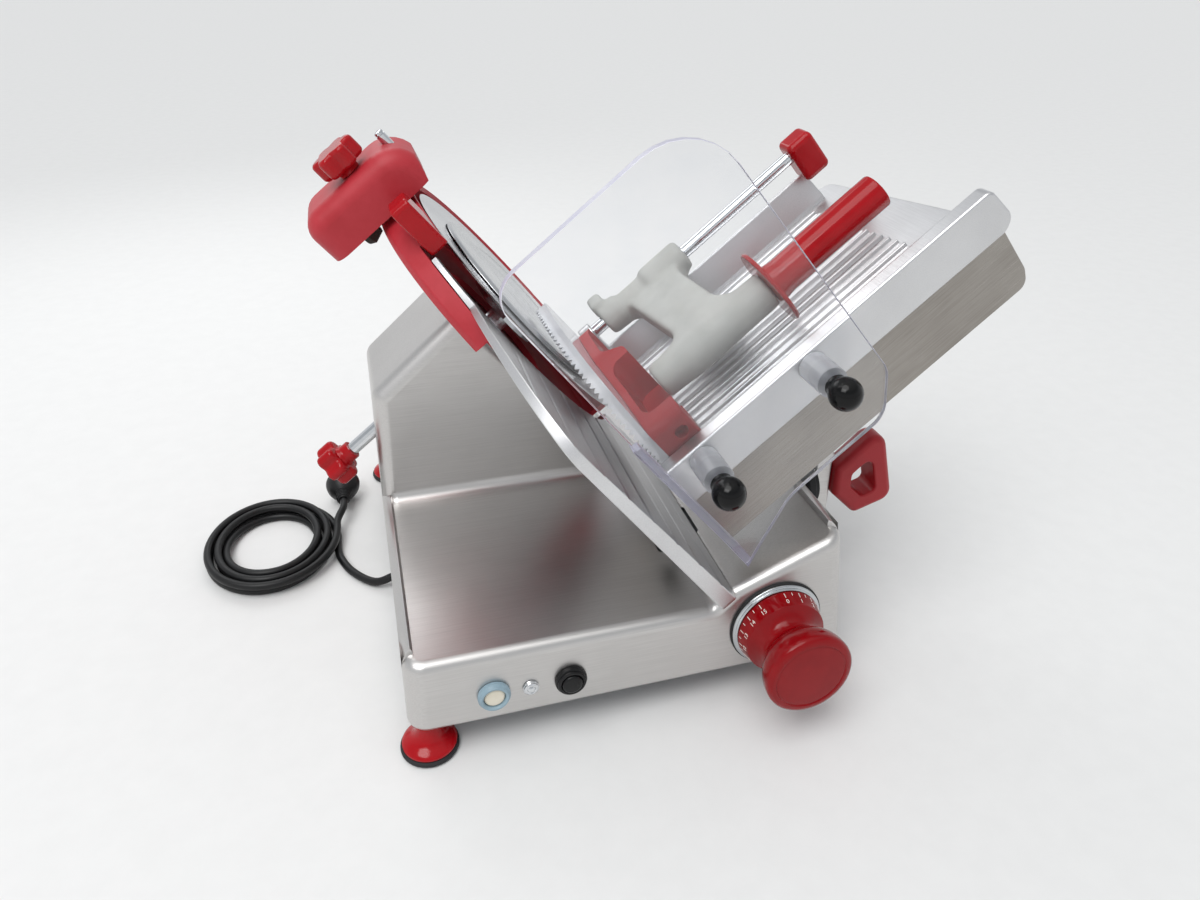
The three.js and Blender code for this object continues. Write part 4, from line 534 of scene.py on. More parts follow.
# Vulcanised rubber: dull and slightly greyed
rubber = moulded("black_rubber", "#18181a", "#232325", (0.6, 0.8), 1, 0.3, IOR=1.5)
trumpet = flow([(8.4, 20.1, 0), (10.6, 17.2, 0), (13.4, 13.6, 0), (17, 11, 0), (22, 9.5, 0), (28.5, 9, 0)],
               14)[0]
foot_profile = [(5.3, 0), (5.3, 20.5), (5.9, 21), (7.2, 21)] + [(p.x, p.y) for p in trumpet] + [(28.5, 0)]
pad_profile = [(0, 0), (0, 20.4), (0.6, 21.4), (1.6, 22.3), (2.6, 22.5), (3.7, 22.4), (4.6, 21.8), (5, 20.8),
               (5, 0)]
foot_in = 15
for name, x, y in (("front_left", foot_in, foot_in), ("front_right", base_wide - foot_in, foot_in),
                   ("back_left", foot_in, base_deep - foot_in),
                   ("back_right", base_wide - foot_in, base_deep - foot_in)):
    piece("moulded_foot_" + name, spin(foot_profile, (x, y, 0), "Z"), red_nylon, "red_plastic", "frame",
          "foot_" + name)
    piece("rubber_pad_" + name, spin(pad_profile, (x, y, 0), "Z"), rubber, "black_rubber", "frame",
          "pad_" + name)

# The push buttons and the lamp.
# Start is an ivory cap in a pale blue soft collar, stop a black cap proud of a stepped black collar. Between
# them is a lamp in a chromed bezel. All are pushed through the front wall and clamped behind it.

# Silicone, moulded: milky and soft, with a dull sheen
pale_silicone = moulded("pale_blue_silicone", "#96adb8", "#889fab", (0.28, 0.4), 1.5, 0.1, IOR=1.42)
# Moulded nylon, spark-eroded: warm and matte, so that it hardly mirrors
ivory_nylon = moulded("ivory_nylon", "#e4ddcc", "#d8d0bd", (0.4, 0.55), 0.8, 0.12, IOR=1.53)
# The same in black, a little glossier where fingers press
black_nylon = moulded("black_nylon", "#0b0b0c", "#121213", (0.25, 0.4), 0.9, 0.15, IOR=1.5,
                      Specular_IOR_Level=0.3)
# Chromed steel: a near mirror
chrome = metal("chromed_steel", "#dcdee0", "#cfd2d5", (0.05, 0.12), 3, (20, 1, 1), 0.02)
start_collar = [(-0.3, 8.3), (-4.4, 8.3), (-5.4, 8.7), (-6, 9.6), (-5.8, 10.6), (-5, 11.2), (-4.2, 11.3),
                (-3.6, 11.8), (-3, 12.4), (-1.4, 12.5), (-0.3, 12.4)]
stop_collar = [(-0.3, 8.3), (-5.2, 8.3), (-6, 8.8), (-6, 10.4), (-5.4, 11), (-4.6, 11.1), (-4.4, 10.8),
               (-4, 10.8), (-3.8, 11.6), (-3.2, 12.2), (-1.4, 12.5), (-0.3, 12.4)]


def cap(stand):
    """A push button's cap, with a flange that keeps it behind the wall."""
    return [(-stand, 0), (-stand, 5.8), (-stand + 0.3, 6.9), (-stand + 0.9, 7.7), (-stand + 1.8, 8),
            (5.3, 8), (5.3, 10.4), (7.3, 10.4), (7.3, 0)]


lamp = [(-4.6, 0), (-4.5, 1.2), (-4, 2.2), (-3.4, 2.7), (-3.2, 2.9), (-3.6, 3.4), (-3.6, 4.4), (-2.9, 5.4),
        (-1.9, 5.7), (-1.7, 6.1), (-0.9, 6.4), (-0.3, 6.4), (-0.3, 0)]
for name, profile, x, material, slot, body, node in (
        ("start_collar", start_collar, start_x, pale_silicone, "blue_plastic", "frame", "start_button_collar"),
        ("stop_collar", stop_collar, stop_x, black_nylon, "black_plastic", "frame", "stop_button_collar"),
        ("start_cap", cap(4.5), start_x, ivory_nylon, "ivory_plastic", "start_switch", "start_button"),
        ("stop_cap", cap(7.8), stop_x, black_nylon, "black_plastic", "stop_switch", "stop_button"),
        ("lamp_bezel", lamp, lamp_x, chrome, "chromed_steel", "frame", "pilot_lamp")):
    piece(name, spin(profile, (x, 0, button_z), "Y"), material, slot, body, node)

# The slice setting.
# A chromed bezel on the front wall, and a waisted hollow knob of red nylon with its graduations and numbers
# printed in white round the skirt. It turns a shaft with a cam, which moves the gauge plate.

# Chromed steel over turned lines: its mirror is broken to a soft sheen
satin_chrome = metal("satin_chrome", "#c9ccce", "#b7babd", (0.16, 0.26), 0.4, (1, 1, 1), 0.08)
# Pad-printed ink: flat, and slightly off white
white_ink = moulded("white_printing", "#efece6", "#e4e0d8", (0.4, 0.55), 0.6, 0.05, IOR=1.5)
bezel = [(-0.3, 6.6), (-6, 6.6), (-6, 35.4), (-5.7, 36), (-4.9, 36.6), (-4.5, 36.3), (-4.2, 36.3),
         (-3.9, 37), (-3.4, 37.7), (-2.8, 38), (-1, 38), (-0.3, 37.6)]
piece("setting_bezel", spin(bezel, (dial_x, 0, dial_z), "Y", 128), satin_chrome, "chromed_steel", "frame",
      "dial_bezel")
gasket = [(-0.1, 38.1), (-0.1, 39), (-1.4, 39), (-2, 38.7), (-2, 38.1)]
piece("setting_gasket", spin(gasket, (dial_x, 0, dial_z), "Y", 128), rubber, "black_rubber", "frame")
# The same nylon, coloured darker than on the other parts: painted shade on the setting knob
shaded_red_nylon = moulded("shaded_red_nylon", "#80030a", "#8a070e", (0.06, 0.16), 2.5, 0.04, IOR=1.5,
                         Specular_IOR_Level=0.26)
waist = flow([(-19.3, 32.4, 0), (-22.6, 27.6, 0), (-26, 24.4, 0), (-30, 23, 0), (-33.6, 23.8, 0),
              (-37, 27, 0), (-41, 30.4, 0), (-46, 33, 0), (-51, 34.5, 0), (-56.6, 35, 0)], 34)[0]
knob = [(-33.8, 0), (-33.8, 6.3), (-6.3, 6.3), (-6.3, 34.6), (-6.7, 35), (-7.4, 35)]
knob += [(p.x, p.y) for p in waist]
knob += [(-58.8, 34.5), (-60.2, 33.2), (-61, 31.4), (-61.3, 29.4), (-61.2, 28.6), (-60.8, 28.3), (-60.5, 28),
         (-60.6, 27.5), (-60.9, 26), (-61.2, 14), (-61.3, 0)]
piece("hollow_setting_knob", spin(knob, (dial_x, 0, dial_z), "Y", 128), shaded_red_nylon, "red_plastic",
      "setting_knob", "gauge_knob")


def gather(into, mesh, place):
    """Move one mesh's faces into another, set in place."""
    mesh.transform(place)
    data = bpy.data.meshes.new("form")
    mesh.to_mesh(data)
    mesh.free()
    into.from_mesh(data)
    bpy.data.meshes.remove(data)
    return into


def on_skirt(angle, station):
    """Where a flat mark, drawn across X and up Y, lies on the knob's skirt at an angle round it."""
    slope = atan(2.6 / 11.9)
    radius = 35 + (station + 7.4) * tan(slope)
    where = Vector((dial_x + radius * cos(angle), station, dial_z + radius * sin(angle))) * MM
    facing = Vector((cos(angle) * cos(slope), -sin(slope), sin(angle) * cos(slope)))
    across = Vector((sin(angle), 0, -cos(angle)))
    return Matrix.Translation(where) @ Matrix((across, facing.cross(across), facing)).transposed().to_4x4()


marks = bmesh.new()
full_turn, scale_steps = radians(324), 30
for i in range(scale_steps + 1):
    angle = pi / 2 - full_turn * i / scale_steps
    tall = 2 if i % 2 == 0 else 1.3
    gather(marks, prism(box(-0.28, 0.28, -tall, tall, 0.1), -0.3, 0.12, "Z"),
           on_skirt(angle, -8 - tall))
    if i % 2 == 0:
        text = bpy.data.curves.new("figure", "FONT")
        text.body, text.size, text.extrude = str(i // 2), 5 * MM, 0.15 * MM
        text.align_x, text.align_y, text.resolution_u = "CENTER", "CENTER", 3
        holder = bpy.data.objects.new("figure", text)
        figure = bmesh.new()
        figure.from_mesh(holder.to_mesh())
        gather(marks, figure, on_skirt(angle, -15.4))
        bpy.data.objects.remove(holder)
        bpy.data.curves.remove(text)
piece("setting_numbers", marks, white_ink, "ivory_plastic", "setting_knob")

# Ground steel for shafts and rods: bright, with fine lines round the bar
ground_steel = metal("ground_steel", "#c5c7ca", "#b3b6ba", (0.14, 0.24), 0.5, (1, 1, 1), 0.06)
dress(ground_steel, "gauge_cam_shaft", "gauge_rod", "guide_rod")

# The gauge plate.
# Aluminium, cast and machined, fluted on its face so that food slides, and cut out in a curve round the
# blade. It is hollow behind a rim, thins to its tip, and its arm goes through the deck to a guide rod.

# Anodised aluminium, machined along the plate: a pale satin with long faint lines
anodised = metal("anodised_aluminium", "#dededf", "#d0d0d1", (0.28, 0.4), 0.8, (1, 40, 1), 0.1, 50, lean)
gauge_low, gauge_front, gauge_back, gauge_face, gauge_thick, gauge_cutout = -73, -15, 200, 265, 14, 130


def arc(radius, first, last, count):
    """Points round the blade's axis, from one angle to another."""
    turns = [first + (last - first) * k / count for k in range(count + 1)]
    return [Vector((blade_y + radius * cos(turn), blade_t + radius * sin(turn))) for turn in turns]


def curve(start, bend_out, bend_in, end, count):
    """Points along a smooth bend, without its start."""
    four = [Vector(p) for p in (start, bend_out, bend_in, end)]
    points = []
    for k in range(1, count + 1):
        t = k / count
        points.append(four[0] * (1 - t) ** 3 + four[1] * 3 * t * (1 - t) ** 2 + four[2] * 3 * t * t * (1 - t)
                      + four[3] * t ** 3)
    return points


def gauge_rear(t):
    """How far along the blade's axis the gauge plate's back lies at a height: it thins to its tip."""
    thick, lost, thins_from, thins_over = gauge_thick, 0.66, 15, 195
    return gauge_face - thick * (1 - lost * min(max((t - thins_from) / thins_over, 0), 1))


def gauge_outline(inset):
    """The gauge plate's outline at an inset, in the plane across the blade's axis."""
    reach, outside = gauge_cutout + inset, gauge_cutout + 7.6 - inset
    front, bottom, back = gauge_front + inset, gauge_low + inset, gauge_back - inset
    tip_turn, side_turn = radians(127.5), radians(148)
    low_turn = tau - acos((back - blade_y) / reach)
    points = [Vector((front + 6, bottom)), Vector((back - 1, bottom)), Vector((back, bottom + 1))]
    points += arc(reach, low_turn, tip_turn, 52) + arc(outside, tip_turn + 0.01, side_turn + 0.01, 8)
    points += curve(points[-1], (95, 190), (front + 3.5, 149), (front, 114), 16)
    for k in range(5):
        turn = pi + pi / 2 * k / 5
        points.append(Vector((front + 6 + 6 * cos(turn), bottom + 6 + 6 * sin(turn))))
    return points


def gauge_pocket(inset):
    """The hollow in the gauge plate's back, inside its 7 mm rim."""
    rim = 7 + inset
    reach, front, bottom, back = gauge_cutout + rim, gauge_front + rim, gauge_low + rim, gauge_back - rim
    low_turn = tau - acos((back - blade_y) / reach)
    points = [Vector((front, bottom)), Vector((back, bottom)), *arc(reach, low_turn, radians(152), 40)]
    return points + curve(points[-1], (95, 179), (front + 3.5, 145), (front, 114), 12)


plate = slab(gauge_outline, gauge_face - gauge_thick, gauge_face, "X", 1.4, 4)
plate = carve(plate, slab(gauge_pocket, gauge_face - gauge_thick - 2, gauge_face - 5, "X", 0.8, 2))
flutes = bmesh.new()
flute_pitch = 29
for i in range(11):
    flute = [(gauge_face + 1, gauge_low + flute_pitch * (i + 0.72) - 3),
             (gauge_face + 1, gauge_low + flute_pitch * (i + 0.96) + 3),
             (gauge_face - 0.9, gauge_low + flute_pitch * (i + 0.84), 3)]
    prism(flute, gauge_front - 2, gauge_back + 2, into=flutes)
plate = carve(plate, flutes)
for vert in plate.verts:
    thin = (gauge_face - gauge_rear(vert.co.z / MM)) / gauge_thick
    vert.co.x = gauge_face * MM - (gauge_face * MM - vert.co.x) * thin
piece("fluted_gauge_plate", plate, anodised, "satin_aluminium", "gauge", "gauge_plate", place=lean, crease=28)
dress(brushed_casting, "gauge_arm")

# The blade, its guard ring and its cover.
# A dished disc of hardened chromium steel, ground hollow with a bright edge, in a ring of aluminium coated
# red. The round cover in its middle is spun aluminium, held by a long rod with a star knob at the back.

# Chromium steel, ground round its axis: fine rings that gather the light in fans
blade_steel = metal("hollow_ground_steel", "#c4c6c9", "#a9acb1", (0.1, 0.2), 1.1, (1e6, 1, 1), 0.1, 60,
                    blade_place)
# Powder coating: a satin of low, soft orange peel
red_coating = moulded("satin_red_coating", "#ab262f", "#b4303a", (0.4, 0.52), 1.6, 0.2, IOR=1.5,
                      Specular_IOR_Level=0.4)
blade_profile = [(266, 6.6), (269, 6.6), (269, 38), (270.6, 43), (276.4, 54), (276.4, 115), (276.6, 119),
                 (277, 125), (275.4, 119.5), (274.3, 115), (274, 107), (274, 57), (268.4, 46), (266, 41)]
piece("ground_blade", spin(blade_profile, axis="X", sides=192), blade_steel, "blade_steel", "blade_rotor",
      "blade", place=blade_place)
ring = spin([(240.6, 60), (246.6, 60), (246.6, 127), (248, 131), (251.6, 133), (275.6, 133), (276.6, 134),
             (278.2, 135.2), (278.6, 136), (278.2, 137.4), (277.4, 138), (247, 138), (245, 137.6),
             (240.9, 134), (240.6, 133)], axis="X", sides=160)
# Behind the gauge plate the ring's wall stops short and its web is open
for low, high, first, last, inside in ((None, 290, 121, 266, 125), (230, 262, 160, 250, 68)):
    turns = [radians(first + (last - first) * k / 20) for k in range(21)]
    cleared = [(inside, turn) for turn in reversed(turns)] + [(160, turn) for turn in turns]
    under = [low or gauge_rear(blade_t + r * sin(a)) - 0.4 for r, a in cleared]
    cut = bmesh.new()
    stitch(cut, [[(station, r * cos(a), r * sin(a)) for station, (r, a) in zip(end, cleared)]
                 for end in (under, [high] * len(cleared))])
    ring = carve(ring, cut)
ring = carve(ring, prism(box(1.5, 32.5, 116.5, 150), 230, 290, "X"))
piece("painted_guard_ring", ring, red_coating, "red_paint", "frame", "guard_ring", place=blade_place)
# Aluminium spun on a lathe: coarser rings and a softer shine than the blade's
spun_cover = metal("spun_aluminium", "#cccdce", "#bcbec0", (0.2, 0.32), 1.4, (1e6, 1, 1), 0.12, 60,
                   blade_place)
cover = [(277.3, 0), (277.3, 92), (277.8, 92), (279.2, 90.6), (280, 89), (280.3, 87), (280.3, 62),
         (279.9, 60), (279.9, 40), (280.1, 38), (280.1, 0)]
piece("spun_blade_cover", spin(cover, axis="X", sides=160), spun_cover, "satin_aluminium", "frame",
      "blade_cover", place=blade_place)


def star(inset, radius=20, lobes=6, depth=4.6):
    """A star knob's outline at an inset."""
    points = []
    for k in range(lobes * 16):
        turn = k / (lobes * 16) * tau
        reach = radius - inset - depth * (0.5 - 0.5 * cos(turn * lobes)) ** 1.4
        points.append(Vector((cos(turn), sin(turn))) * reach)
    return points


cover_knob = slab(star, 44, 62, "X", 4, 6)
spin([(58, 0), (58, 12), (62, 11.4), (64, 9.6), (66, 9), (71.4, 9), (72, 8.4), (72, 0)], sides=40,
     into=cover_knob)
piece("moulded_cover_knob", cover_knob, red_nylon, "red_plastic", "cover_screw", "cover_knob",
      place=blade_place)
dress(chrome, "cover_rod")

# The sharpener.
# A hood of cast aluminium, coated in the same red, sits on a post on the guard ring. A star knob clamps it, a
# chromed pin sets the stone, and a glossy block of nylon guards the blade's edge beside it.
post_at, pin_at = (255, 230, 0), (291, 240, 0)
hood_side = [(197, 244), (303, 244), (303, 303, 27), (197, 303, 18)]
hood_front = [(290, 240), (320, 240), (320, 285), (303.5, 285)]
hood_inside = [(202, 250), (293, 250), (297.4, 281, 2), (287.6, 298, 9), (202, 298, 8)]
hood = carve(slab(hood_side, 205, 275, "Y", 15, 10), prism(box(190, 310, 235, 262), 200, 280),
             prism(hood_front, 200, 280), slab(hood_inside, 210, 270, "Y", 8, 4))
hood = join(hood, prism(box(239.7, 270.3, 214.7, 245.3, 3), 264.8, 299, "Z"))
hood = carve(hood, bore(263, 294, 5, post_at, "Z", 32), bore(260, 310, 4.3, pin_at, "Z", 32))
piece("coated_sharpener_hood", hood, red_coating, "red_paint", "sharpener", "sharpener_body", place=lean)
knob_place = lean @ Matrix.Translation(Vector(post_at) * MM)
clamp_knob = slab(star, 308.3, 326.3, "Z", 4, 6)
spin([(303.3, 0), (303.3, 8.6), (303.8, 9), (306, 9), (308, 9.8), (310, 12), (312, 12), (312, 0)], axis="Z",
     sides=40, into=clamp_knob)
piece("moulded_clamp_knob", clamp_knob, red_nylon, "red_plastic", "sharpener_clamp", "sharpener_knob",
      place=knob_place)
setting_pin = [(288, 0), (288, 4), (306.4, 4), (306.7, 3.4), (307.3, 3.4), (307.6, 4), (308.9, 4),
               (309.7, 3.5), (310, 2.6), (310, 1.2), (309.5, 1), (309.5, 0)]
piece("chromed_setting_pin", spin(setting_pin, pin_at, "Z", 32), chrome, "chromed_steel", "sharpener",
      "sharpener_pin", place=lean)
dress(red_coating, "sharpener_post")
block_side = [(162, 227, 3), (170.5, 229, 1.5), (167.8, 240.5), (178, 246), (190, 251), (190, 275, 6),
              (162, 275, 6)]
guard_block = slab(block_side, 262, 278.6, "X", 2.2, 4)
piece("nylon_guard_block", guard_block, red_nylon, "red_plastic", "frame", "guard_block", place=lean)
# Bonded abrasive: open-grained, dark from use
bonded_abrasive = moulded("bonded_abrasive", "#2b2420", "#3a322c", (0.75, 0.92), 0.7, 0.8, IOR=1.5)
stone = [(219, 0), (219, 9.2), (219.6, 9.8), (224, 12), (230, 9.8), (234, 8.4), (234, 4), (262, 4),
         (262, 8.4), (262.5, 9), (267.4, 12.2), (268, 12.5), (269.6, 12.5), (270, 12.1), (270, 0)]
piece("grinding_stone_and_cap", spin(stone, (0, 257, 253), "X", 64), bonded_abrasive, "black_plastic",
      "stone", "grinding_stone", place=lean)

# The carriage tray.
# Anodised aluminium, folded, welded and cast: a boxed front lip over an apron, a floor with seventeen ribs
# that food slides on, and a back wall. A lug near the blade holds the pusher's rod.
tray_near, tray_far, rib_count, rib_pitch, rod_y, rod_t = 286, 551, 17, 9.81, 229, 53
lip_side = [(tray_near, -13), (597, -13, 14), (607, -5, 14), (602, 26, 7), (tray_near, 26)]
apron_side = [(tray_near, -69), (592, -69, 14), (597, -55, 14), (597, -11), (tray_near, -11)]
tray_floor = [(tray_near, 48), (592, 48), (592, 80, 14), (565, 250, 14), (tray_near, 250)]
back_wall = [(232, -9), (250, -9), (250, 20, 3), (245, 25, 3), (232, -2, 3)]
tray = join(slab(lip_side, 35, 50, "Y", 2.4, 4), slab(apron_side, 39, 43, "Y", 1, 3),
            slab(tray_floor, -9, -5, "Z", 1, 3), slab(back_wall, tray_near, tray_far, "X", 1.5, 3))
for i in range(rib_count):
    y = 65 + rib_pitch * i
    rib = [(y - 2.5, -6), (y + 2.5, -6), (y + 1.25, -2, 1), (y - 1.25, -2, 1)]
    tray = join(tray, slab(rib, 298, tray_far - 1.09 * i, "X", 1.2, 3))
lug = [(219, -7), (239, -7), (239, 63, 9.9), (219, 63, 9.9)]
tray = join(tray, slab(lug, 296, 308, "X", 1.5, 3))
tray = piece("anodised_tray", tray, anodised, "satin_aluminium", "carriage", "carriage_tray", place=lean,
             crease=30)
# The apron is stainless sheet, brushed dull, and its faces are coloured warmer and darker than the tray's
apron_steel = metal("brushed_apron_steel", "#a8a39d", "#918b85", (0.26, 0.4), 0.8, (40, 1, 1), 0.14, 70, lean)
tray.data.materials.append(apron_steel)
for face in tray.data.polygons:
    flat = lean.inverted() @ face.center
    face.material_index = int(flat.z < -12.6 * MM and flat.y < 44 * MM)
rod = [(302, 0), (302, 5.4), (302.6, 6), (555.4, 6), (556, 5.4), (556, 0)]
piece("chromed_pusher_rod", spin(rod, (0, rod_y, rod_t), "X", 48), chrome, "chromed_steel", "carriage",
      "pusher_rod", place=lean)
support = slab(box(216, 242, 25.3, 66, 6.5), 543, 569, "X", 5, 5)
piece("nylon_rod_support", support, red_nylon, "red_plastic", "carriage", "rod_end_support", place=lean)

# The carriage arm and its handle.
# A post of cast aluminium under the tray, cranked down outside the base and in through the slot in its wall
# to a slider on a round guide rod. The handle is a nylon loop, and a rubber cap keeps the arm off the base.
def upright(n, t):
    """A point of the tilted side view, seen square on."""
    return (n * cos(tilt) - t * sin(tilt), n * sin(tilt) + t * cos(tilt))


arm_side = [(345, 52.8), (387, 52.8, 9), (387, 156, 12), (*upright(405, -29.3), 20), upright(425, -9.3),
            upright(365, -9.3), (*upright(385, -29.3), 20), (369, 156, 12), (369, 72.8, 6), (345, 72.8)]
arm = join(slab(arm_side, 95, 145, "Y", 2.5, 4), slab(box(313, 347, 41.8, 81.8, 4.3), 75, 165, "Y", 1.5, 3))
arm = carve(arm, bore(60, 180, 8.3, (330, 0, 61.8), "Y", 48))
piece("cranked_carriage_arm", arm, brushed_casting, "cast_aluminium", "carriage", "carriage_arm", crease=30)
arm_rest = [(354.7, 0), (354.7, 17), (355, 17.6), (357.6, 21.4), (358.6, 22), (363.4, 22), (364.2, 21.4),
            (364.9, 19.2), (365.4, 18.7), (368.4, 18.7), (368.7, 18.4), (368.7, 0)]
piece("rubber_arm_cap", spin(arm_rest, (0, 100, 126.8), "X"), rubber, "black_rubber", "carriage", "arm_cap")
# Nylon with a spark-eroded skin: satin, gripped to a slight shine
satin_nylon = moulded("satin_red_nylon", "#9a121b", "#a31a23", (0.34, 0.46), 0.8, 0.18, IOR=1.5,
                      Specular_IOR_Level=0.4)
handle_side = [(387.3, 116, 6), (411.3, 92, 6), (449, 104, 12), (429.8, 181, 12), (387.3, 142.4, 6)]
handle = slab(handle_side, 87, 113, "Y", 6, 6)
hole = [(x, y, 6) for x, y, fillet in shrink(handle_side, 16)]
handle = carve(handle, prism(hole, 80, 120))
piece("nylon_arm_handle", soften(handle, 2, 3, angle=50), satin_nylon, "red_plastic", "carriage",
      "arm_handle")

# The hand guard.
# Cast acrylic sheet, 6 mm thick, with a flange bent along the blade. Two clear tubes hold it off the tray's
# lip, each on a steel stud with a ball knob of black phenolic.
guard_studs, stud_t, acrylic_thick = (("near", 316), ("far", 423)), 13, 6

# Cast acrylic: clear, its sawn and polished edges catching the light
clear_acrylic = moulded("clear_cast_acrylic", "#fdfdfe", "#f9fafc", (0.0, 0.02), 3, 0.004, IOR=1.49,
                        Transmission_Weight=1)
guard_side = [(286, -68), (298, -62, 6), (346, -41, 44), (438, -41, 22), (460, -8, 22), (460, 240, 46),
              (292, 240, 22)]
flange = [(5, -68), (9, -68, 2), (18, -52, 6), (18, 80, 4), (5, 80)]
guard = join(slab(guard_side, 0, acrylic_thick, "Y", 0.8, 3),
             slab(flange, tray_near, tray_near + acrylic_thick, "X", 0.8, 3))
for name, n in guard_studs:
    guard = carve(guard, bore(-2, 9, 4, (n, 0, stud_t), "Y", 32))
guard = piece("acrylic_hand_guard", guard, clear_acrylic, "clear_acrylic", "carriage", "hand_guard",
              place=lean, crease=30)
# Its sawn edges: frosted, and faintly violet as the sheet is when seen edge on
sawn_acrylic = moulded("sawn_acrylic_edge", "#e9e8f6", "#dcdbf0", (0.3, 0.45), 0.6, 0.2, IOR=1.49,
                       Transmission_Weight=0.45)
guard.data.materials.append(sawn_acrylic)
across_blade = lean.to_3x3() @ Vector((1, 0, 0))
for face in guard.data.polygons:
    on_flange = all(guard.data.vertices[v].co.y > 6.2 * MM for v in face.vertices)
    flat = abs(face.normal.dot(across_blade)) if on_flange else abs(face.normal.y)
    face.material_index = 0 if flat > 0.9 else 1
# Phenolic resin, moulded and buffed: deep black with a hard gloss
phenolic = moulded("black_phenolic", "#060607", "#0a0a0b", (0.08, 0.16), 3, 0.03, IOR=1.5,
                   Specular_IOR_Level=0.25)
ball = [(34.7, 0), (34.7, 3.3), (34.3, 3.7), (-0.3, 3.7), (-0.3, 8.4), (-0.7, 8.75), (-3, 8.75)]
for k in range(19):
    turn = radians(48 + 132 * k / 18)
    ball.append((-14 + 12.5 * cos(turn), 12.5 * sin(turn) if k < 18 else 0))
# The same acrylic, rubbed milky by use
milky_acrylic = moulded("rubbed_acrylic", "#fafbfd", "#eceef3", (0.06, 0.2), 1.2, 0.1, IOR=1.49,
                        Transmission_Weight=0.5)
for name, n in guard_studs:
    spacer = spin([(6.3, 4.2), (6.3, 11.6), (6.7, 12), (34.3, 12), (34.7, 11.6), (34.7, 4.2)],
                  (n, 0, stud_t), "Y")
    piece("acrylic_spacer_" + name, spacer, milky_acrylic, "clear_acrylic", "carriage",
          "guard_spacer_" + name, place=lean)
    piece("ball_knob_" + name, spin(ball, (n, 0, stud_t), "Y"), phenolic, "black_plastic", "carriage",
          "guard_ball_" + name, place=lean)

# The food pusher.
# An arm moulded in one piece of pale grey nylon swings and slides on the chromed rod in a steel bush. It
# carries a red foot that grips the food, a clear shield with a toothed rim, and a red grip.
bush = [(322.4, 6.3), (322.4, 8.5), (322.7, 8.8), (416.3, 8.8), (416.6, 8.5), (416.6, 6.3)]
piece("bush_sleeve", spin(bush, (0, rod_y, rod_t), "X", 48), ground_steel, "chromed_steel",
      "pusher_slider", "pusher_bush", place=lean)


def melt(mesh, size, rounds):
    """Run joined forms into one moulding with soft inner corners."""
    made = form(mesh)
    cast = made.modifiers.new("cast", "REMESH")
    cast.mode, cast.voxel_size = "VOXEL", size * MM
    result = worked(made)
    for _ in range(rounds):
        bmesh.ops.smooth_vert(result, verts=result.verts, factor=0.5, use_axis_x=True, use_axis_y=True,
                              use_axis_z=True)
    return result


# Glass-filled nylon, moulded: matte, warm light grey
grey_nylon = moulded("pale_grey_nylon", "#b7b8b3", "#adaea9", (0.5, 0.62), 1, 0.2, IOR=1.53)
grip_y, grip_t = 110, 42
web = [(323, 229), (323, 223, 5), (341, 223, 5), (348.5, 212.5, 7.5), (360.5, 125, 15), (341, 110),
       (426, 110), (407, 131, 30), (401, 206.5, 30), (414, 229)]
slider_end = [(372, 0), (372, 13), (374, 15), (414, 15), (416, 13), (416, 0)]
sleeve = [(321, 0), (321, 13.5), (322.5, 15), (341, 15), (344, 11.4), (380, 11.4), (380, 0)]
neck = [(326, 0), (326, 13.6), (328, 15.3), (356.5, 17), (441, 16), (441, 0)]
pusher_arm = join(slab(web, 36.5, 58.5, "Z", 4, 4), spin(slider_end, (0, rod_y, rod_t), "X", 64),
                  spin(sleeve, (0, rod_y, rod_t), "X", 64), spin(neck, (0, grip_y, grip_t), "X", 64),
                  slab(box(229, 250, 54, 73, 3), 319, 333, "X", 2.5, 3))
rod_bore = bore(310, 430, 9.1, (0, rod_y, rod_t), "X", 64)
pusher_arm = carve(melt(pusher_arm, size=1.6, rounds=9), rod_bore)
piece("moulded_pusher_arm", pusher_arm, grey_nylon, "grey_plastic", "pusher", "pusher_arm", place=lean,
      crease=40)
grip = [(426.9, 0), (426.9, 7.5), (441.3, 7.5), (441.3, 31.4), (441.7, 33.2), (443.3, 34), (444.9, 33.2),
        (445.3, 31.4), (445.3, 19), (445.9, 17.4), (447.6, 16.4), (456.3, 15), (554.8, 15), (556.6, 14.2),
        (557.3, 12.6), (557.3, 9.6), (556.6, 8.4), (549.8, 7.5), (549.8, 0)]
piece("nylon_pusher_grip", spin(grip, (0, grip_y, grip_t), "X", 96), red_nylon, "red_plastic", "pusher",
      "pusher_grip", place=lean)
foot_plan = [(296.8, 53), (328.3, 53, 4.5), (328.3, 87.1, 4.5), (325.4, 92.4, 4.5), (325.4, 127.6, 4.5),
             (323.8, 131.1, 4.5), (323.8, 138.2, 4.5), (305.8, 147, 9), (305.8, 186.5, 4.5),
             (310.3, 200, 4.5), (296.8, 200)]
foot_face = [(53, 16, 9), (200, 16, 9), (200, 78, 9), (145.2, 78, 27), (110, 59, 18), (53, 50.5, 9)]
foot = carve(prism(foot_plan, 10, 90, "Z"), prism(foot_face, 290, 335, "X"), operation="INTERSECT")
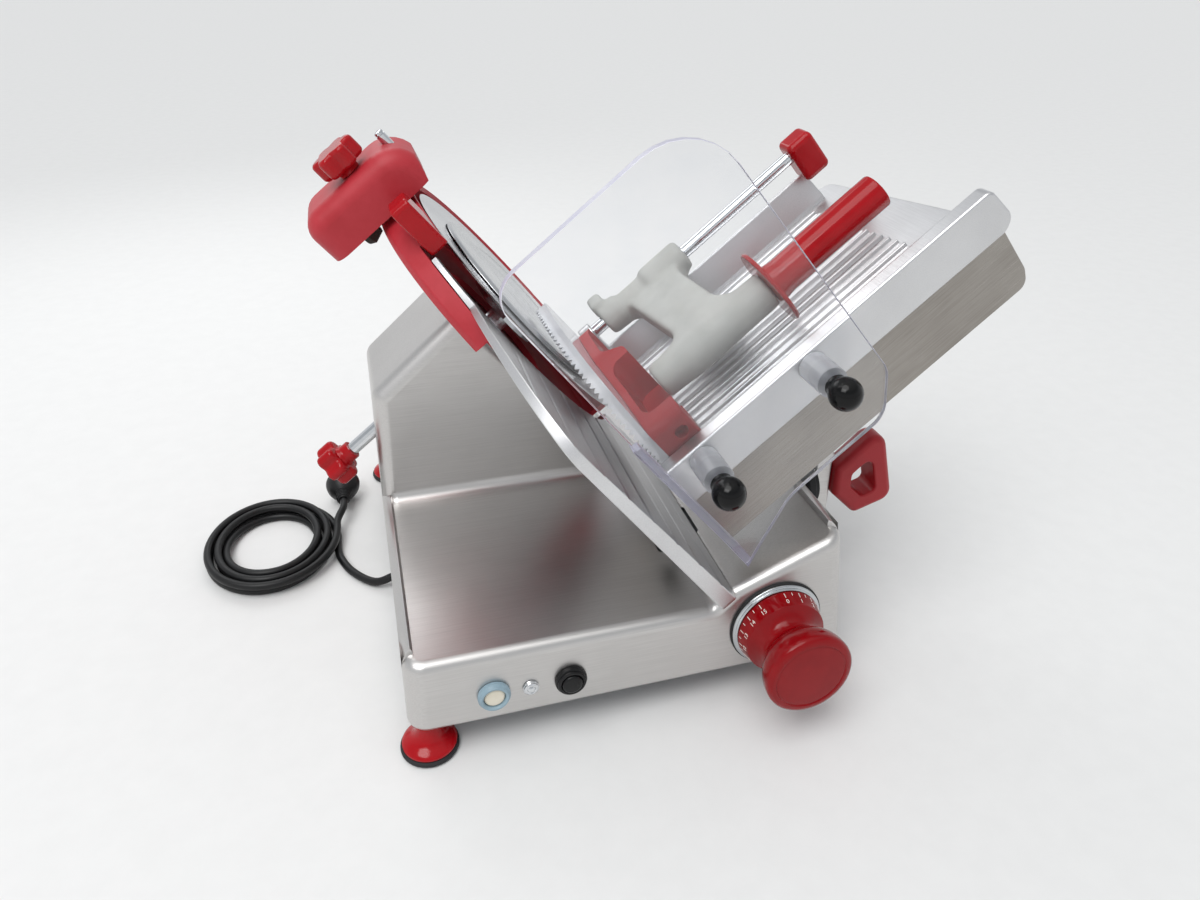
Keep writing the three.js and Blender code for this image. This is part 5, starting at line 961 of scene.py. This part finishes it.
# The trough in its top, and the recess of the screw that holds it
foot = carve(foot, slab(box(303, 350, 70, 132, 10), 27, 99, "Z", 0.01, 1),
             bore(45, 62, 5.6, (317, 0, 33), "Y"))
piece("nylon_pusher_foot", soften(foot, 1, 3, angle=40, clamp=True), satin_nylon, "red_plastic", "pusher",
      "pusher_plate", place=lean, crease=30)
shield_outline = [Vector((55, 6)), Vector((204, 6)), Vector((204, 108))]
for k in range(1, 9):
    t = k / 8
    shield_outline.append(Vector((204, 108)) * (1 - t) ** 2 + Vector((204, 124)) * 2 * t * (1 - t)
                          + Vector((188, 124)) * t * t)
shield_outline += [Vector((172, 124)), *curve((172, 124), (110, 124), (71, 80), (55, 48), 24)]
shield = slab(lambda inset: shield_outline, 291.5, 296.5, "X", 0.01, 1)
# The toothed rim that grips the food stands up along the shield's outer edge
teeth = 42
rim_line = flow([(p.x, p.y, 0) for p in [*shield_outline[2:], Vector((55, 20))]], teeth * 2 + 1)[0]
rim_rings = []
for i, p in enumerate(rim_line):
    along = (rim_line[min(i + 1, teeth * 2)] - rim_line[max(i - 1, 0)]).normalized()
    inner = p + Vector((-along.y, along.x, 0)) * 3
    tooth = 285.6 if i % 2 else 289
    rim_rings.append([(tooth, p.x, p.y), (294, p.x, p.y), (294, inner.x, inner.y), (tooth, inner.x, inner.y)])
rim = bmesh.new()
stitch(rim, rim_rings)
shield = join(shield, rim)
piece("acrylic_pusher_shield", shield, milky_acrylic, "clear_acrylic", "pusher", "pusher_shield", place=lean,
      crease=25)

# The drive inside the housing.
# A flange motor with its pulley and a ribbed belt to the blade's spindle, which turns in a steel bearing.

# Stoved enamel on cast iron: an even black with a low sheen
motor_enamel = moulded("black_motor_enamel", "#1c1d1f", "#26272a", (0.35, 0.5), 1.4, 0.2, IOR=1.5)
dress(motor_enamel, "motor")
dress(rubber, "drive_belt")
dress(ground_steel, "blade_bearing", "blade_spindle", "motor_pulley")

# The floor and the light.
# A pale, even studio floor under a soft surround. Three lamps: an overcast ceiling, a large key lamp above
# and to the left of the camera, and a softbox behind, which the deck and the rims mirror.

# Matt floor paint, rolled: pale and nearly even
floor_paint = moulded("pale_floor", "#e4e4e3", "#e2e2e1", (0.85, 0.95), 40, 0.01, IOR=1.45)
floor = bmesh.new()
floor.faces.new([floor.verts.new((x, y, 0)) for x, y in ((-30, -30), (30, -30), (30, 30), (-30, 30))])
floor_data = bpy.data.meshes.new("floor")
floor.to_mesh(floor_data)
floor.free()
floor_data.materials.append(floor_paint)
floor = bpy.data.objects.new("floor", floor_data)
bpy.context.collection.objects.link(floor)

# The surround, from below to overhead: darkest a little above the horizon, so that metal shows its shape
surround = bpy.data.worlds.new("surround")
surround.use_nodes = True
bpy.context.scene.world = surround
tree = surround.node_tree
place = add(tree, "ShaderNodeTexCoord").outputs["Generated"]
parts = add(tree, "ShaderNodeSeparateXYZ", (), {0: place})
fall = add(tree, "ShaderNodeValToRGB", (), {0: parts.outputs["Z"]})
fall.color_ramp.interpolation = "EASE"
shades = ((0, "#e2e3e4"), (0.3, "#e0e2e5"), (0.58, "#b2b5b9"), (0.8, "#d2d4d6"), (1, "#f8f8f8"))
for i, (height, shade) in enumerate(shades):
    stop = fall.color_ramp.elements[i] if i < 2 else fall.color_ramp.elements.new(height)
    stop.position, stop.color = height, linear(shade)
tree.links.new(fall.outputs[0], tree.nodes["Background"].inputs["Color"])
tree.nodes["Background"].inputs["Strength"].default_value = 0.98
lamps = (("ceiling", {"energy": 1.1, "angle": radians(40)}, (0, 0, 0), (0.35, 0.3, -1)),
         ("key", {"energy": 6, "size": 0.9, "size_y": 0.6}, (-0.9, -0.9, 1.5), (0.9, 0.9, -1.4)),
         ("back_softbox", {"energy": 3.6, "size": 0.85, "size_y": 0.7}, machine @ Vector((-0.3, 1.3, 1.1)),
          (0.35, -1.2, -1)))
for name, settings, place, aim in lamps:
    lamp_data = bpy.data.lights.new(name, "AREA" if "size" in settings else "SUN")
    if "size" in settings:
        lamp_data.shape = "RECTANGLE"
    for setting, value in settings.items():
        setattr(lamp_data, setting, value)
    studio_lamp = bpy.data.objects.new(name, lamp_data)
    studio_lamp.location = place
    studio_lamp.rotation_euler = Vector(aim).to_track_quat("-Z", "Y").to_euler()
    bpy.context.collection.objects.link(studio_lamp)
